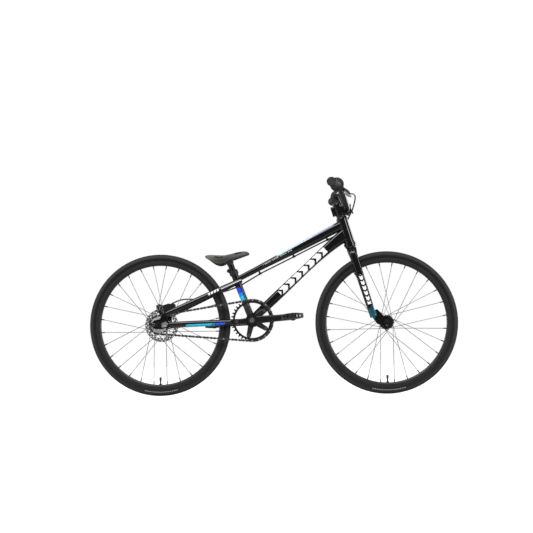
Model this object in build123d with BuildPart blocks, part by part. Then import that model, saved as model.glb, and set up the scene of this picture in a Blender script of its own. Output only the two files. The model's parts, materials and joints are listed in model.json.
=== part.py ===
"""A small-wheeled racing bicycle with one gear and a hydraulic rear disc brake.

Millimetres.  +X forward, +Y to the rider's left, +Z up.  The origin is on the ground, midway between
the axles.  The chain is on the right, -Y.
"""

import os
from math import atan2, cos, degrees, pi, radians, sin, sqrt

from build123d import *

os.makedirs("parts", exist_ok=True)

# ---------------------------------------------------------------- driving dimensions
WHEELBASE = 810.0
TYRE_RADIUS = 253.5  # 28-451 tyre
TYRE_WIDTH = 28.0
RIM_FLANGE_RADIUS = 231.0
RIM_INNER_RADIUS = 213.0
BEAD_RADIUS = 225.5
SPOKES = 28
SPOKE_CROSS = 3
SPOKE_RADIUS = 1.0

AXLE_RADIUS = 5.0
AXLE_TIP_RADIUS = 4.4  # turned down outside the nuts
FRONT_AXLE_END = 75.0
REAR_AXLE_END = 84.0
WASHER_THICKNESS = 2.0
NUT_HEIGHT = 9.0
FRONT_SPACING = 100.0  # between the fork ends
REAR_SPACING = 110.0  # between the rear dropouts
DROPOUT_THICKNESS = 6.0
RUNNING_GAP = 0.05

CRANK_CENTRE = (-71.0, 265.0)  # X, Z
CRANK_LENGTH = 145.0
CRANK_TILT = 4.2  # the right arm points forward, this much above level
CHAINRING_TEETH = 36
COG_TEETH = 16
CHAIN_PITCH = 12.7
CHAIN_LINE = 43.0
ROLLER_RADIUS = 3.9
TOOTH_THICKNESS = 2.0
SPINDLE_RADIUS = 12.0
SPIDER_HUB_RADIUS = 23.5
PEDAL_CENTRE = 128.0

HEAD_LEAN = 17.0  # the steering axis leans back this much from upright
HEAD_FOOT = (293.4, 487.5)  # a point on the steering axis: X, Z
HEAD_TUBE_BOTTOM = 530.0
HEAD_TUBE_TOP = 625.0
HEAD_TUBE_RADIUS = 19.5
STEERER_RADIUS = 12.7

SEAT_TUBE_LEAN = 0.378  # X per Z, backwards
SEAT_TUBE_TOP = 446.0
SEAT_TUBE_RADIUS = 12.9
SEAT_POST_RADIUS = 11.1

STEM_LOW = 640.0
STEM_HIGH = 675.0
BAR_RADIUS = 11.1
BAR_POINTS = [(271.1, 0, 656.2), (271.1, -38, 656.2), (245.4, -125, 729.5), (216.7, -310, 722.7)]
GRIP_START = 187.0
GRIP_END = 310.0
GRIP_RADIUS = 15.0

ROTOR_RADIUS = 60.0
ROTOR_Y = 44.0
CALIPER_BOLTS = [(-408.0, 312.0), (-366.0, 319.0)]  # X, Z
CALIPER_BOLT_RADIUS = 3.0
HOSE_RADIUS = 2.5

REAR_AXLE = Vector(-WHEELBASE / 2, 0, TYRE_RADIUS)
FRONT_AXLE = Vector(WHEELBASE / 2, 0, TYRE_RADIUS)
CRANK = Vector(CRANK_CENTRE[0], 0, CRANK_CENTRE[1])
STEER_UP = Vector(-sin(radians(HEAD_LEAN)), 0, cos(radians(HEAD_LEAN)))
STEER_FORWARD = Vector(cos(radians(HEAD_LEAN)), 0, sin(radians(HEAD_LEAN)))


def steer_point(z, forward=0.0, y=0.0):
    """A point by its height on the steering axis, its distance in front of the axis, and its side."""
    up = (z - HEAD_FOOT[1]) / STEER_UP.Z
    return Vector(HEAD_FOOT[0], y, HEAD_FOOT[1]) + STEER_UP * up + STEER_FORWARD * forward


def seat_point(z):
    """A point on the seat tube's axis."""
    return Vector(CRANK.X - 2 - (z - CRANK.Z) * SEAT_TUBE_LEAN, 0, z)


# ---------------------------------------------------------------- shapes used many times
def rod(start, end, radius, hole=0.0, end_radius=None):
    """A round bar or tube between two points, tapered when its end radius differs."""
    start = Vector(start)
    run = Vector(end) - start
    with BuildPart() as bar:
        with BuildSketch(Plane(origin=start, z_dir=run)):
            Circle(radius)
        if end_radius is None:
            extrude(amount=run.length)
        else:
            with BuildSketch(Plane(origin=start + run, z_dir=run)):
                Circle(end_radius)
            loft()
        if hole:
            with BuildSketch(Plane(origin=start, z_dir=run)):
                Circle(hole)
            extrude(amount=run.length, mode=Mode.SUBTRACT)
    return bar.part


def turned(centre, profile):
    """A solid turned about the Y direction through a centre, from (y, radius) corners."""
    with BuildPart() as body:
        with BuildSketch(Plane(origin=centre, x_dir=(0, 1, 0), z_dir=(1, 0, 0))):
            with BuildLine():
                Polyline(*profile, close=True)
            make_face()
        revolve(axis=Axis(centre, (0, 1, 0)))
    return body.part


def oval_tube(stations, wall, flat=0.0):
    """A hollow tube through stations of (point, half height, half width), with rounded corners."""
    points = [Vector(s[0]) for s in stations]
    with BuildPart() as body:
        for inset in (0.0, wall):
            for i, (_, high, wide) in enumerate(stations):
                before = points[max(i - 1, 0)]
                after = points[min(i + 1, len(points) - 1)]
                along = after - before
                side = along.cross(Vector(0, 1, 0)).normalized()
                with BuildSketch(Plane(origin=points[i], x_dir=side, z_dir=along)):
                    if flat:
                        RectangleRounded(2 * (high - inset), 2 * (wide - inset), (1 - flat) * (wide - inset))
                    else:
                        Ellipse(high - inset, wide - inset)
            loft(mode=Mode.SUBTRACT if inset else Mode.ADD)
    return body.part


def plate(outline, y, thickness, holes=()):
    """A flat plate across Y, centred on y, from (x, z) corners, with (x, z, radius) holes."""
    side = Plane(origin=(0, y - thickness / 2, 0), x_dir=(1, 0, 0), z_dir=(0, -1, 0))
    with BuildPart() as body:
        with BuildSketch(side):
            with BuildLine():
                Polyline(*outline, close=True)
            make_face()
            for x, z, radius in holes:
                with Locations((x, z)):
                    Circle(radius, mode=Mode.SUBTRACT)
        extrude(amount=-thickness)
    return body.part


def hexagon(centre, y_start, y_end, across, hole=0.0):
    """A hexagonal nut or head along Y."""
    side = Plane(origin=(centre.X, y_start, centre.Z), x_dir=(1, 0, 0), z_dir=(0, 1, 0))
    with BuildPart() as body:
        with BuildSketch(side):
            RegularPolygon(across / sqrt(3), 6)
            if hole:
                Circle(hole, mode=Mode.SUBTRACT)
        extrude(amount=y_end - y_start)
    return body.part


def save(part, name):
    part.label = name
    export_step(part, f"parts/{name}.step")


# ---------------------------------------------------------------- wheels
def wheel(name, axle, hub_profile, flange_pitch, bearings_y, boss_holes):
    """One wheel's hub, bearings, rim, spokes, nipples, tyre and inner tube."""
    flange_y = 30.0
    step = 360.0 / SPOKES
    wrap = SPOKE_CROSS * 2 * step
    rim_spread = 2.5
    rim_seat = RIM_INNER_RADIUS + 2.5
    nipple_length = 11.0

    def at(angle, radius, y):
        a = radians(angle)
        return Vector(axle.X + radius * cos(a), y, axle.Z + radius * sin(a))

    # each set is the seven spokes that leave one flange the same way round
    sets = []
    for side in (-1, 1):
        for turn in (-1, 1):
            first = 90.0 + (0.5 if side < 0 else 1.5) * step + (0 if turn < 0 else 2 * step)
            lift = 4.4 if turn > 0 else -2.6
            sets.append((side, turn, first, lift))

    round_axle = Axis(axle, (0, -1, 0))
    spoke_shapes = []
    rim_holes = []
    flange_holes = []
    for side, turn, first, lift in sets:
        hub_angle = first + turn * wrap
        inner = at(hub_angle, flange_pitch, side * (flange_y + lift))
        outer = at(first, rim_seat, side * rim_spread)
        inward = (inner - outer).normalized()
        head = at(hub_angle, flange_pitch, side * (flange_y - 3.2 if turn > 0 else flange_y + 3.2))
        cap = head + (head - inner).normalized() * 0.9
        with BuildPart() as spoke:
            add(rod(inner, outer + inward * (nipple_length + 2.5), SPOKE_RADIUS))
            add(rod(inner, head, SPOKE_RADIUS))
            with Locations(inner):
                Sphere(SPOKE_RADIUS)
            add(rod(head, cap, 1.7))
        with BuildPart() as nipple:
            add(rod(outer - inward * 2.5, outer - inward * 0.5, 2.9))
            add(rod(outer - inward * 0.5, outer + inward * (nipple_length + 2.45), 2.0))
        hole = rod(outer - inward * 2.0, outer + inward * 8, 2.35)
        flange_hole = rod(at(hub_angle, flange_pitch, side * 26), at(hub_angle, flange_pitch, side * 34), 1.4)
        for k in range(SPOKES // 4):
            spoke_shapes.append(spoke.part.rotate(round_axle, 4 * k * step))
            spoke_shapes.append(nipple.part.rotate(round_axle, 4 * k * step))
            rim_holes.append(hole.rotate(round_axle, 4 * k * step))
            flange_holes.append(flange_hole.rotate(round_axle, 4 * k * step))
    with BuildPart() as spokes:
        add(spoke_shapes)

    valve_foot = at(-90, RIM_INNER_RADIUS + 16, 0)
    with BuildPart() as rim:
        add(
            turned(
                axle,
                [
                    (12.4, RIM_FLANGE_RADIUS),
                    (11.6, 219.0),
                    (9.0, 214.2),
                    (6.0, RIM_INNER_RADIUS),
                    (-6.0, RIM_INNER_RADIUS),
                    (-9.0, 214.2),
                    (-11.6, 219.0),
                    (-12.4, RIM_FLANGE_RADIUS),
                    (-10.2, RIM_FLANGE_RADIUS),
                    (-10.2, BEAD_RADIUS),
                    (-7.6, BEAD_RADIUS - 0.4),
                    (-6.6, rim_seat),
                    (6.6, rim_seat),
                    (7.6, BEAD_RADIUS - 0.4),
                    (10.2, BEAD_RADIUS),
                    (10.2, RIM_FLANGE_RADIUS),
                ],
            )
        )
        add(rim_holes, mode=Mode.SUBTRACT)
        add(rod(at(-90, RIM_INNER_RADIUS - 5, 0), valve_foot, 4.3), mode=Mode.SUBTRACT)

    # the tyre is an open carcass whose beads sit inside the rim's flanges
    crown = TYRE_RADIUS - TYRE_WIDTH / 2
    section = Plane(origin=axle, x_dir=(0, 1, 0), z_dir=(1, 0, 0))
    foot = RIM_FLANGE_RADIUS + 0.2
    outer_foot = sqrt((TYRE_WIDTH / 2) ** 2 - (crown - foot) ** 2)
    lining = TYRE_WIDTH / 2 - 2.5
    inner_foot = sqrt(lining**2 - (crown - foot) ** 2)
    with BuildPart() as tyre:
        with BuildSketch(section):
            with BuildLine():
                ThreePointArc((outer_foot, foot), (0, TYRE_RADIUS), (-outer_foot, foot))
                Polyline(
                    (-outer_foot, foot),
                    (-9.9, foot),
                    (-9.9, BEAD_RADIUS + 0.2),
                    (-7.8, BEAD_RADIUS + 0.2),
                    (-inner_foot, foot),
                )
                ThreePointArc((-inner_foot, foot), (0, crown + lining), (inner_foot, foot))
                Polyline(
                    (inner_foot, foot),
                    (7.8, BEAD_RADIUS + 0.2),
                    (9.9, BEAD_RADIUS + 0.2),
                    (9.9, foot),
                    (outer_foot, foot),
                )
            make_face()
        revolve(axis=Axis(axle, (0, 1, 0)))

    with BuildPart() as inner_tube:
        with BuildSketch(section):
            with Locations((0, crown)):
                Circle(lining - 0.4)
                Circle(lining - 1.4, mode=Mode.SUBTRACT)
        revolve(axis=Axis(axle, (0, 1, 0)))
        add(rod(at(-90, 187.0, 0), at(-90, crown - lining + 0.35, 0), 3.0))
        add(rod(at(-90, 187.0, 0), at(-90, 199.0, 0), 4.0))
        add(rod(at(-90, RIM_INNER_RADIUS - 3.2, 0), at(-90, RIM_INNER_RADIUS - 0.4, 0), 6.0))

    with BuildPart() as hub:
        add(turned(axle, hub_profile))
        add(flange_holes + boss_holes, mode=Mode.SUBTRACT)

    with BuildPart() as bearings:
        for low, high, outer_radius in bearings_y:
            race = AXLE_RADIUS + RUNNING_GAP
            add(turned(axle, [(low, race), (high, race), (high, outer_radius), (low, outer_radius)]))

    save(hub.part, f"{name}_hub")
    save(bearings.part, f"{name}_hub_bearings")
    save(rim.part, f"{name}_rim")
    save(spokes.part, f"{name}_spokes_and_nipples")
    save(tyre.part, f"{name}_tyre")
    save(inner_tube.part, f"{name}_inner_tube")


def hub_section(flange_radius, barrel, left, right, bore, seat, seat_depth):
    """A hub shell's (y, radius) corners, from its right end to its left end."""
    return [
        (right, seat),
        (right, 16.5),
        (-31.2, 17.5),
        (-31.2, flange_radius),
        (-28.8, flange_radius),
        (-27.6, barrel + 2),
        (-22.0, barrel),
        (22.0, barrel),
        (27.6, barrel + 2),
        (28.8, flange_radius),
        (31.2, flange_radius),
        (31.2, 17.5),
        (left, 16.5),
        (left, seat),
        (left - seat_depth, seat),
        (left - seat_depth, bore),
        (right + seat_depth, bore),
        (right + seat_depth, seat),
    ]


BEARING_SEAT = 13.05
wheel(
    "front",
    FRONT_AXLE,
    hub_section(25.0, 13.5, 37.0, -37.0, 8.0, BEARING_SEAT, 9.0),
    21.5,
    [(-36.5, -28.2, 13.0), (28.2, 36.5, 13.0)],
    [],
)

rotor_bolt_circle = 22.0
rotor_holes = []
for k in range(6):
    angle = radians(60 * k + 30)
    place = REAR_AXLE + Vector(rotor_bolt_circle * cos(angle), 36.0, rotor_bolt_circle * sin(angle))
    rotor_holes.append(rod(place, place + Vector(0, 12, 0), 2.6))
REAR_HUB = [
    (-33.0, BEARING_SEAT),
    (-33.0, 18.0),
    (-31.2, 18.0),
    (-31.2, 28.0),
    (-28.8, 28.0),
    (-27.6, 16.0),
    (-22.0, 14.0),
    (22.0, 14.0),
    (27.6, 16.0),
    (28.8, 28.0),
    (31.2, 28.0),
    (31.2, 18.0),
    (37.0, 18.0),
    (37.0, 26.0),
    (42.9, 26.0),
    (42.9, BEARING_SEAT),
    (34.5, BEARING_SEAT),
    (34.5, 8.0),
    (-24.5, 8.0),
    (-24.5, BEARING_SEAT),
]
wheel(
    "rear",
    REAR_AXLE,
    REAR_HUB,
    24.5,
    [(-32.5, -24.7, 13.0), (34.7, 42.5, 13.0)],
    rotor_holes,
)

with BuildPart() as brake_rotor:
    rotor_plane = Plane(origin=(REAR_AXLE.X, ROTOR_Y - 1, REAR_AXLE.Z), x_dir=(1, 0, 0), z_dir=(0, 1, 0))
    with BuildSketch(rotor_plane):
        Circle(ROTOR_RADIUS)
        Circle(ROTOR_RADIUS - 14, mode=Mode.SUBTRACT)
        with PolarLocations(ROTOR_RADIUS - 4, 24):
            Circle(2.0, mode=Mode.SUBTRACT)
        with PolarLocations(ROTOR_RADIUS - 10, 24, start_angle=7.5):
            Circle(2.4, mode=Mode.SUBTRACT)
    with BuildSketch(rotor_plane) as rotor_arms:
        Circle(27)
        with PolarLocations(36, 6):
            Rectangle(24, 6, rotation=28)
        Circle(16.5, mode=Mode.SUBTRACT)
        with PolarLocations(rotor_bolt_circle, 6, start_angle=30):
            Circle(2.7, mode=Mode.SUBTRACT)
    extrude(amount=2)
rotor_bolt_shapes = []
for k in range(6):
    angle = radians(60 * k + 30)
    place = REAR_AXLE + Vector(rotor_bolt_circle * cos(angle), 37.0, rotor_bolt_circle * sin(angle))
    with BuildPart() as rotor_bolt:
        add(rod(place, place + Vector(0, 8.1, 0), 2.45))
        add(rod(place + Vector(0, 8.05, 0), place + Vector(0, 10.0, 0), 3.9))
    rotor_bolt_shapes.append(rotor_bolt.part)
with BuildPart() as rotor_and_bolts:
    add([brake_rotor.part] + rotor_bolt_shapes)
save(rotor_and_bolts.part, "brake_rotor_and_bolts")


# ---------------------------------------------------------------- chain drive
def sprocket(centre, teeth, phase, inner_radius):
    """A toothed ring on the chain line; phase is the direction of one roller seat."""
    pitch_radius = CHAIN_PITCH / 2 / sin(pi / teeth)
    seat = ROLLER_RADIUS + 0.12
    root = pitch_radius - seat
    tip = pitch_radius + 3.6
    y_side = -CHAIN_LINE - TOOTH_THICKNESS / 2
    face = Plane(origin=(centre.X, y_side, centre.Z), x_dir=(1, 0, 0), z_dir=(0, -1, 0))
    half = 180.0 / teeth

    def polar(radius, angle):
        return (radius * cos(radians(angle)), radius * sin(radians(angle)))

    with BuildPart() as ring:
        with BuildSketch(face):
            Circle(tip)
            with BuildSketch(face, mode=Mode.PRIVATE) as gap:
                with BuildLine():
                    left = (pitch_radius + 0.6, phase + degrees(seat / pitch_radius))
                    right = (pitch_radius + 0.6, phase - degrees(seat / pitch_radius))
                    ThreePointArc(polar(*left), polar(root, phase), polar(*right))
                    Polyline(
                        polar(*right),
                        polar(tip + 1, phase - half * 0.86),
                        polar(tip + 1, phase + half * 0.86),
                        polar(*left),
                    )
                make_face()
            for k in range(teeth):
                add(gap.sketch_local.rotate(Axis.Z, k * 360.0 / teeth), mode=Mode.SUBTRACT)
            Circle(inner_radius, mode=Mode.SUBTRACT)
        extrude(amount=-TOOTH_THICKNESS)
    return ring.part


ring_radius = CHAIN_PITCH / 2 / sin(pi / CHAINRING_TEETH)
cog_radius = CHAIN_PITCH / 2 / sin(pi / COG_TEETH)
centre_run = CRANK - REAR_AXLE
centre_distance = centre_run.length
centre_slope = degrees(atan2(centre_run.Z, centre_run.X))
lean = degrees(atan2(ring_radius - cog_radius, centre_distance))
upper_normal = centre_slope + 90 + lean  # direction from each centre to its upper tangent point
lower_normal = centre_slope - 90 - lean

# the chain's pitch points: over the ring, along the lower run, round the cog, and back along the top
tangent_run = sqrt(centre_distance**2 - (ring_radius - cog_radius) ** 2)
ring_wrap = 180.0 + 2 * lean
cog_wrap = 180.0 - 2 * lean
chain_length = 2 * tangent_run + radians(ring_wrap) * ring_radius + radians(cog_wrap) * cog_radius
chain_links = round(chain_length / CHAIN_PITCH)
ring_seats = int(ring_wrap / 360 * CHAINRING_TEETH)
cog_seats = int(cog_wrap / 360 * COG_TEETH)


def on_circle(centre, radius, angle):
    return Vector(centre.X + radius * cos(radians(angle)), 0, centre.Z + radius * sin(radians(angle)))


def run_points(start, end, pieces, bow):
    """Evenly spaced points of a slightly slack run from one seat to another."""
    side = (end - start).cross(Vector(0, 1, 0)).normalized()
    found = []
    for k in range(1, pieces):
        t = k / pieces
        found.append(start + (end - start) * t + side * (4 * bow * t * (1 - t)))
    return found


ring_step = 360.0 / CHAINRING_TEETH
cog_step = 360.0 / COG_TEETH
ring_shift = 0.31  # the ring and cog stand so that each free run is a whole number of links
cog_shift = 0.19
ring_first = upper_normal - (ring_wrap - ring_seats * ring_step) / 2 - ring_shift * ring_step
ring_points = [on_circle(CRANK, ring_radius, ring_first - k * ring_step) for k in range(ring_seats + 1)]
cog_first = lower_normal - (cog_wrap - cog_seats * cog_step) / 2 + cog_shift * cog_step
cog_points = [on_circle(REAR_AXLE, cog_radius, cog_first - k * cog_step) for k in range(cog_seats + 1)]


def run_bow(length, pieces):
    """How far a run of whole links bows out between seats that are a little closer than its length."""
    slack = max(pieces * CHAIN_PITCH - length, 0)
    return sqrt(3 * slack * length / 8)


lower_gap = (cog_points[0] - ring_points[-1]).length
upper_gap = (ring_points[0] - cog_points[-1]).length
free_links = chain_links - ring_seats - cog_seats
lower_links = round(lower_gap / CHAIN_PITCH)
upper_links = free_links - lower_links
chain_points = (
    ring_points
    + run_points(ring_points[-1], cog_points[0], lower_links, run_bow(lower_gap, lower_links))
    + cog_points
    + run_points(cog_points[-1], ring_points[0], upper_links, run_bow(upper_gap, upper_links))
)

PLATE_INNER_Y = 1.35
PLATE_THICKNESS = 1.1
PLATE_GAP = 0.1
OUTER_PLATE_Y = PLATE_INNER_Y + PLATE_THICKNESS + PLATE_GAP
PIN_RADIUS = 1.8
BUSH_RADIUS = 2.8


def across_y(x, low, high, radius, hole=0.0):
    """A round piece along Y, in a link's own frame."""
    return rod((x, low, 0), (x, high, 0), radius, hole)


def side_plate(y, hole):
    """A waisted plate that spans one pitch, with a hole or none at each end."""
    face = Plane(origin=(CHAIN_PITCH / 2, y, 0), x_dir=(1, 0, 0), z_dir=(0, 1, 0))
    with BuildPart() as side:
        with BuildSketch(face):
            with Locations((-CHAIN_PITCH / 2, 0), (CHAIN_PITCH / 2, 0)):
                Circle(4.1)
            Rectangle(CHAIN_PITCH, 6.2)
            if hole:
                with Locations((-CHAIN_PITCH / 2, 0), (CHAIN_PITCH / 2, 0)):
                    Circle(hole, mode=Mode.SUBTRACT)
        extrude(amount=PLATE_THICKNESS)
    return side.part


pin_reach = OUTER_PLATE_Y + PLATE_THICKNESS + 0.5
bush_hole = PIN_RADIUS + RUNNING_GAP
with BuildPart() as outer_link:
    add(side_plate(OUTER_PLATE_Y, 0))
    add(side_plate(-OUTER_PLATE_Y - PLATE_THICKNESS, 0))
    for x in (0, CHAIN_PITCH):
        add(across_y(x, -pin_reach, pin_reach, PIN_RADIUS))
with BuildPart() as inner_link:
    add(side_plate(PLATE_INNER_Y, bush_hole))
    add(side_plate(-PLATE_INNER_Y - PLATE_THICKNESS, bush_hole))
    for x in (0, CHAIN_PITCH):
        add(across_y(x, -PLATE_INNER_Y - 0.1, PLATE_INNER_Y + 0.1, BUSH_RADIUS, bush_hole))
with BuildPart() as rollers:
    for x in (0, CHAIN_PITCH):
        add(across_y(x, -PLATE_INNER_Y + 0.05, PLATE_INNER_Y - 0.05, ROLLER_RADIUS - 0.06, BUSH_RADIUS + 0.05))
with BuildPart() as half_link:
    # one end carries rollers like an inner link, and the other end spans the next inner link
    for side in (-1, 1):
        narrow = side * (PLATE_INNER_Y + PLATE_THICKNESS / 2)
        wide = side * (OUTER_PLATE_Y + PLATE_THICKNESS / 2)
        half = PLATE_THICKNESS / 2
        with BuildSketch(Plane.XY.offset(-3.1)):
            with BuildLine():
                Polyline(
                    (0, narrow - half),
                    (4.2, narrow - half),
                    (8.5, wide - half),
                    (CHAIN_PITCH, wide - half),
                    (CHAIN_PITCH, wide + half),
                    (8.5, wide + half),
                    (4.2, narrow + half),
                    (0, narrow + half),
                    close=True,
                )
            make_face()
        extrude(amount=6.2)
        low, high = sorted((narrow - side * half, narrow + side * half))
        add(across_y(0, low, high, 4.1))
        low, high = sorted((wide - side * half, wide + side * half))
        add(across_y(CHAIN_PITCH, low, high, 4.1))
    add(across_y(0, -PLATE_INNER_Y - 0.1, PLATE_INNER_Y + 0.1, BUSH_RADIUS))
    add(across_y(0, -5, 5, bush_hole), mode=Mode.SUBTRACT)
    add(across_y(CHAIN_PITCH, -pin_reach, pin_reach, PIN_RADIUS))
with BuildPart() as half_roller:
    add(across_y(0, -PLATE_INNER_Y + 0.05, PLATE_INNER_Y - 0.05, ROLLER_RADIUS - 0.06, BUSH_RADIUS + 0.05))

chain_shapes = []
for i, start in enumerate(chain_points):
    run = chain_points[(i + 1) % len(chain_points)] - start
    origin = Vector(start.X, -CHAIN_LINE, start.Z)
    frame = Plane(origin=origin, x_dir=run, z_dir=Vector(0, 1, 0).cross(run) * -1)
    last = i == len(chain_points) - 1
    members = [half_link, half_roller] if last else [inner_link, rollers] if i % 2 == 0 else [outer_link]
    for member in members:
        chain_shapes.append(frame.location * member.part)
with BuildPart() as chain:
    add(chain_shapes)
save(chain.part, "chain")

spider_angles = [CRANK_TILT + 36 + 72 * k for k in range(5)]
with BuildPart() as chainring:
    add(sprocket(CRANK, CHAINRING_TEETH, ring_first, 62.0))
    for angle in spider_angles:
        tab = on_circle(CRANK, 55.0, angle)
        add(rod((tab.X, -CHAIN_LINE - 1, tab.Z), (tab.X, -CHAIN_LINE + 1, tab.Z), 8.2))
    for angle in spider_angles:
        tab = on_circle(CRANK, 55.0, angle)
        bolt_hole = rod((tab.X, -CHAIN_LINE - 3, tab.Z), (tab.X, -CHAIN_LINE + 3, tab.Z), 4.1)
        add(bolt_hole, mode=Mode.SUBTRACT)
save(chainring.part, "chainring")

with BuildPart() as rear_cog:
    add(sprocket(REAR_AXLE, COG_TEETH, cog_first, 19.0))
save(rear_cog.part, "rear_cog")

with BuildPart() as cog_driver:
    race = AXLE_RADIUS + RUNNING_GAP
    add(
        turned(
            REAR_AXLE,
            [
                (-33.4, race),
                (-33.4, 17.5),
                (-38.0, 17.5),
                (-38.0, 21.0),
                (-41.9, 21.0),
                (-41.9, 18.9),
                (-46.0, 18.9),
                (-46.0, 16.0),
                (-49.0, 16.0),
                (-49.0, race),
            ],
        )
    )
    driver_lock = [(-44.15, 18.95), (-44.15, 22.0), (-46.4, 22.0), (-46.4, 16.2), (-45.9, 16.2), (-45.9, 18.95)]
    add(turned(REAR_AXLE, driver_lock))
save(cog_driver.part, "cog_driver")


# ---------------------------------------------------------------- cranks and pedals
def crank_tip(side):
    """The pedal axis: the right arm points forward and the left arm points back."""
    turn = CRANK_TILT if side < 0 else CRANK_TILT + 180
    return on_circle(CRANK, CRANK_LENGTH, turn)


def crank_arm(side):
    """A tapered arm with a round boss at each end."""
    tip = crank_tip(side)
    along = (tip - CRANK).normalized()
    across = Vector(-along.Z, 0, along.X)
    y_root = side * 62.0
    y_tip = side * 68.5
    with BuildPart() as arm:
        for centre, radius, y, thick in ((CRANK, 19.0, y_root, 15.0), (tip, 14.0, y_tip, 14.0)):
            add(rod((centre.X, y - thick / 2, centre.Z), (centre.X, y + thick / 2, centre.Z), radius))
        sections = (
            (CRANK + along * 6, 14.5, y_root, 6.5),
            (CRANK + along * 55, 12.6, (y_root + y_tip) / 2, 6.0),
            (tip - along * 6, 11.6, y_tip, 6.2),
        )
        for centre, half_high, y, half_thick in sections:
            origin = Vector(centre.X, y, centre.Z)
            with BuildSketch(Plane(origin=origin, x_dir=across, z_dir=along)):
                RectangleRounded(2 * half_high, 2 * half_thick, 4.5)
        loft()
    return arm.part


def pedal_hole(side):
    tip = crank_tip(side)
    return rod((tip.X, side * 50, tip.Z), (tip.X, side * 90, tip.Z), 7.15)


with BuildPart() as crank_arm_right:
    add(crank_arm(-1))
    for angle in spider_angles:
        foot = on_circle(CRANK, 12.0, angle)
        tab = on_circle(CRANK, 55.0, angle)
        outward = (tab - foot).normalized()
        across = Vector(-outward.Z, 0, outward.X)
        for centre, wide, y, thick in ((foot, 11.0, -54.0, 6.0), (tab, 8.0, -46.6, 5.0)):
            with BuildSketch(Plane(origin=(centre.X, y, centre.Z), x_dir=across, z_dir=outward)):
                RectangleRounded(2 * wide, thick, 2.0)
        loft()
        add(rod((tab.X, -49.2, tab.Z), (tab.X, -44.1, tab.Z), 8.0))
    add(rod((CRANK.X, -60.0, CRANK.Z), (CRANK.X, -50.0, CRANK.Z), 17.0))
    add(rod((CRANK.X, -57.0, CRANK.Z), (CRANK.X, -51.5, CRANK.Z), SPIDER_HUB_RADIUS))
    for angle in spider_angles:
        tab = on_circle(CRANK, 55.0, angle)
        add(rod((tab.X, -53, tab.Z), (tab.X, -43, tab.Z), 4.1), mode=Mode.SUBTRACT)
        add(rod((tab.X, -60, tab.Z), (tab.X, -49.2, tab.Z), 6.3), mode=Mode.SUBTRACT)
    add(pedal_hole(-1), mode=Mode.SUBTRACT)
    add(rod((CRANK.X, -75, CRANK.Z), (CRANK.X, -45, CRANK.Z), SPINDLE_RADIUS + 0.05), mode=Mode.SUBTRACT)
save(crank_arm_right.part, "crank_arm_right")

with BuildPart() as crank_arm_left:
    add(crank_arm(1))
    add(pedal_hole(1), mode=Mode.SUBTRACT)
    add(rod((CRANK.X, 45, CRANK.Z), (CRANK.X, 75, CRANK.Z), SPINDLE_RADIUS + 0.05), mode=Mode.SUBTRACT)
save(crank_arm_left.part, "crank_arm_left")

with BuildPart() as crank_spindle:
    add(rod((CRANK.X, -68, CRANK.Z), (CRANK.X, 68, CRANK.Z), SPINDLE_RADIUS, 7.0))
    for side in (-1, 1):
        inner = Vector(CRANK.X, side * 60, CRANK.Z)
        face = Vector(CRANK.X, side * 69.7, CRANK.Z)
        outer = Vector(CRANK.X, side * 72.0, CRANK.Z)
        add(rod(inner, face, 6.9))
        add(rod(face, outer, 13.0))
        with BuildSketch(Plane(origin=outer, z_dir=(0, -side, 0))):
            RegularPolygon(5.0, 6)
        extrude(amount=5, mode=Mode.SUBTRACT)
save(crank_spindle.part, "crank_spindle")

with BuildPart() as chainring_bolts:
    for angle in spider_angles:
        tab = on_circle(CRANK, 55.0, angle)
        add(rod((tab.X, -50.6, tab.Z), (tab.X, -41.2, tab.Z), 4.0))
        add(rod((tab.X, -51.2, tab.Z), (tab.X, -49.25, tab.Z), 6.0))
        add(rod((tab.X, -41.95, tab.Z), (tab.X, -40.4, tab.Z), 6.0))
        with BuildSketch(Plane(origin=(tab.X, -51.2, tab.Z), z_dir=(0, 1, 0))):
            RegularPolygon(2.9, 6)
        extrude(amount=3.5, mode=Mode.SUBTRACT)
save(chainring_bolts.part, "chainring_bolts")

PEDAL_WIDTH = 86.0
PEDAL_LENGTH = 78.0
PEDAL_THICKNESS = 20.0
PEDAL_BORE = 6.5
pedal_inner = PEDAL_CENTRE - PEDAL_WIDTH / 2
pedal_outer = PEDAL_CENTRE + PEDAL_WIDTH / 2

with BuildPart() as pedal_spindles:
    for side in (-1, 1):
        tip = crank_tip(side)

        def out(y):
            return Vector(tip.X, side * y, tip.Z)

        add(rod(out(61.5), out(75.6), 7.0))
        add(rod(out(75.6), out(83.5), 8.5))
        add(rod(out(83.5), out(pedal_outer - 8), PEDAL_BORE - RUNNING_GAP))
save(pedal_spindles.part, "pedal_spindles")

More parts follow.
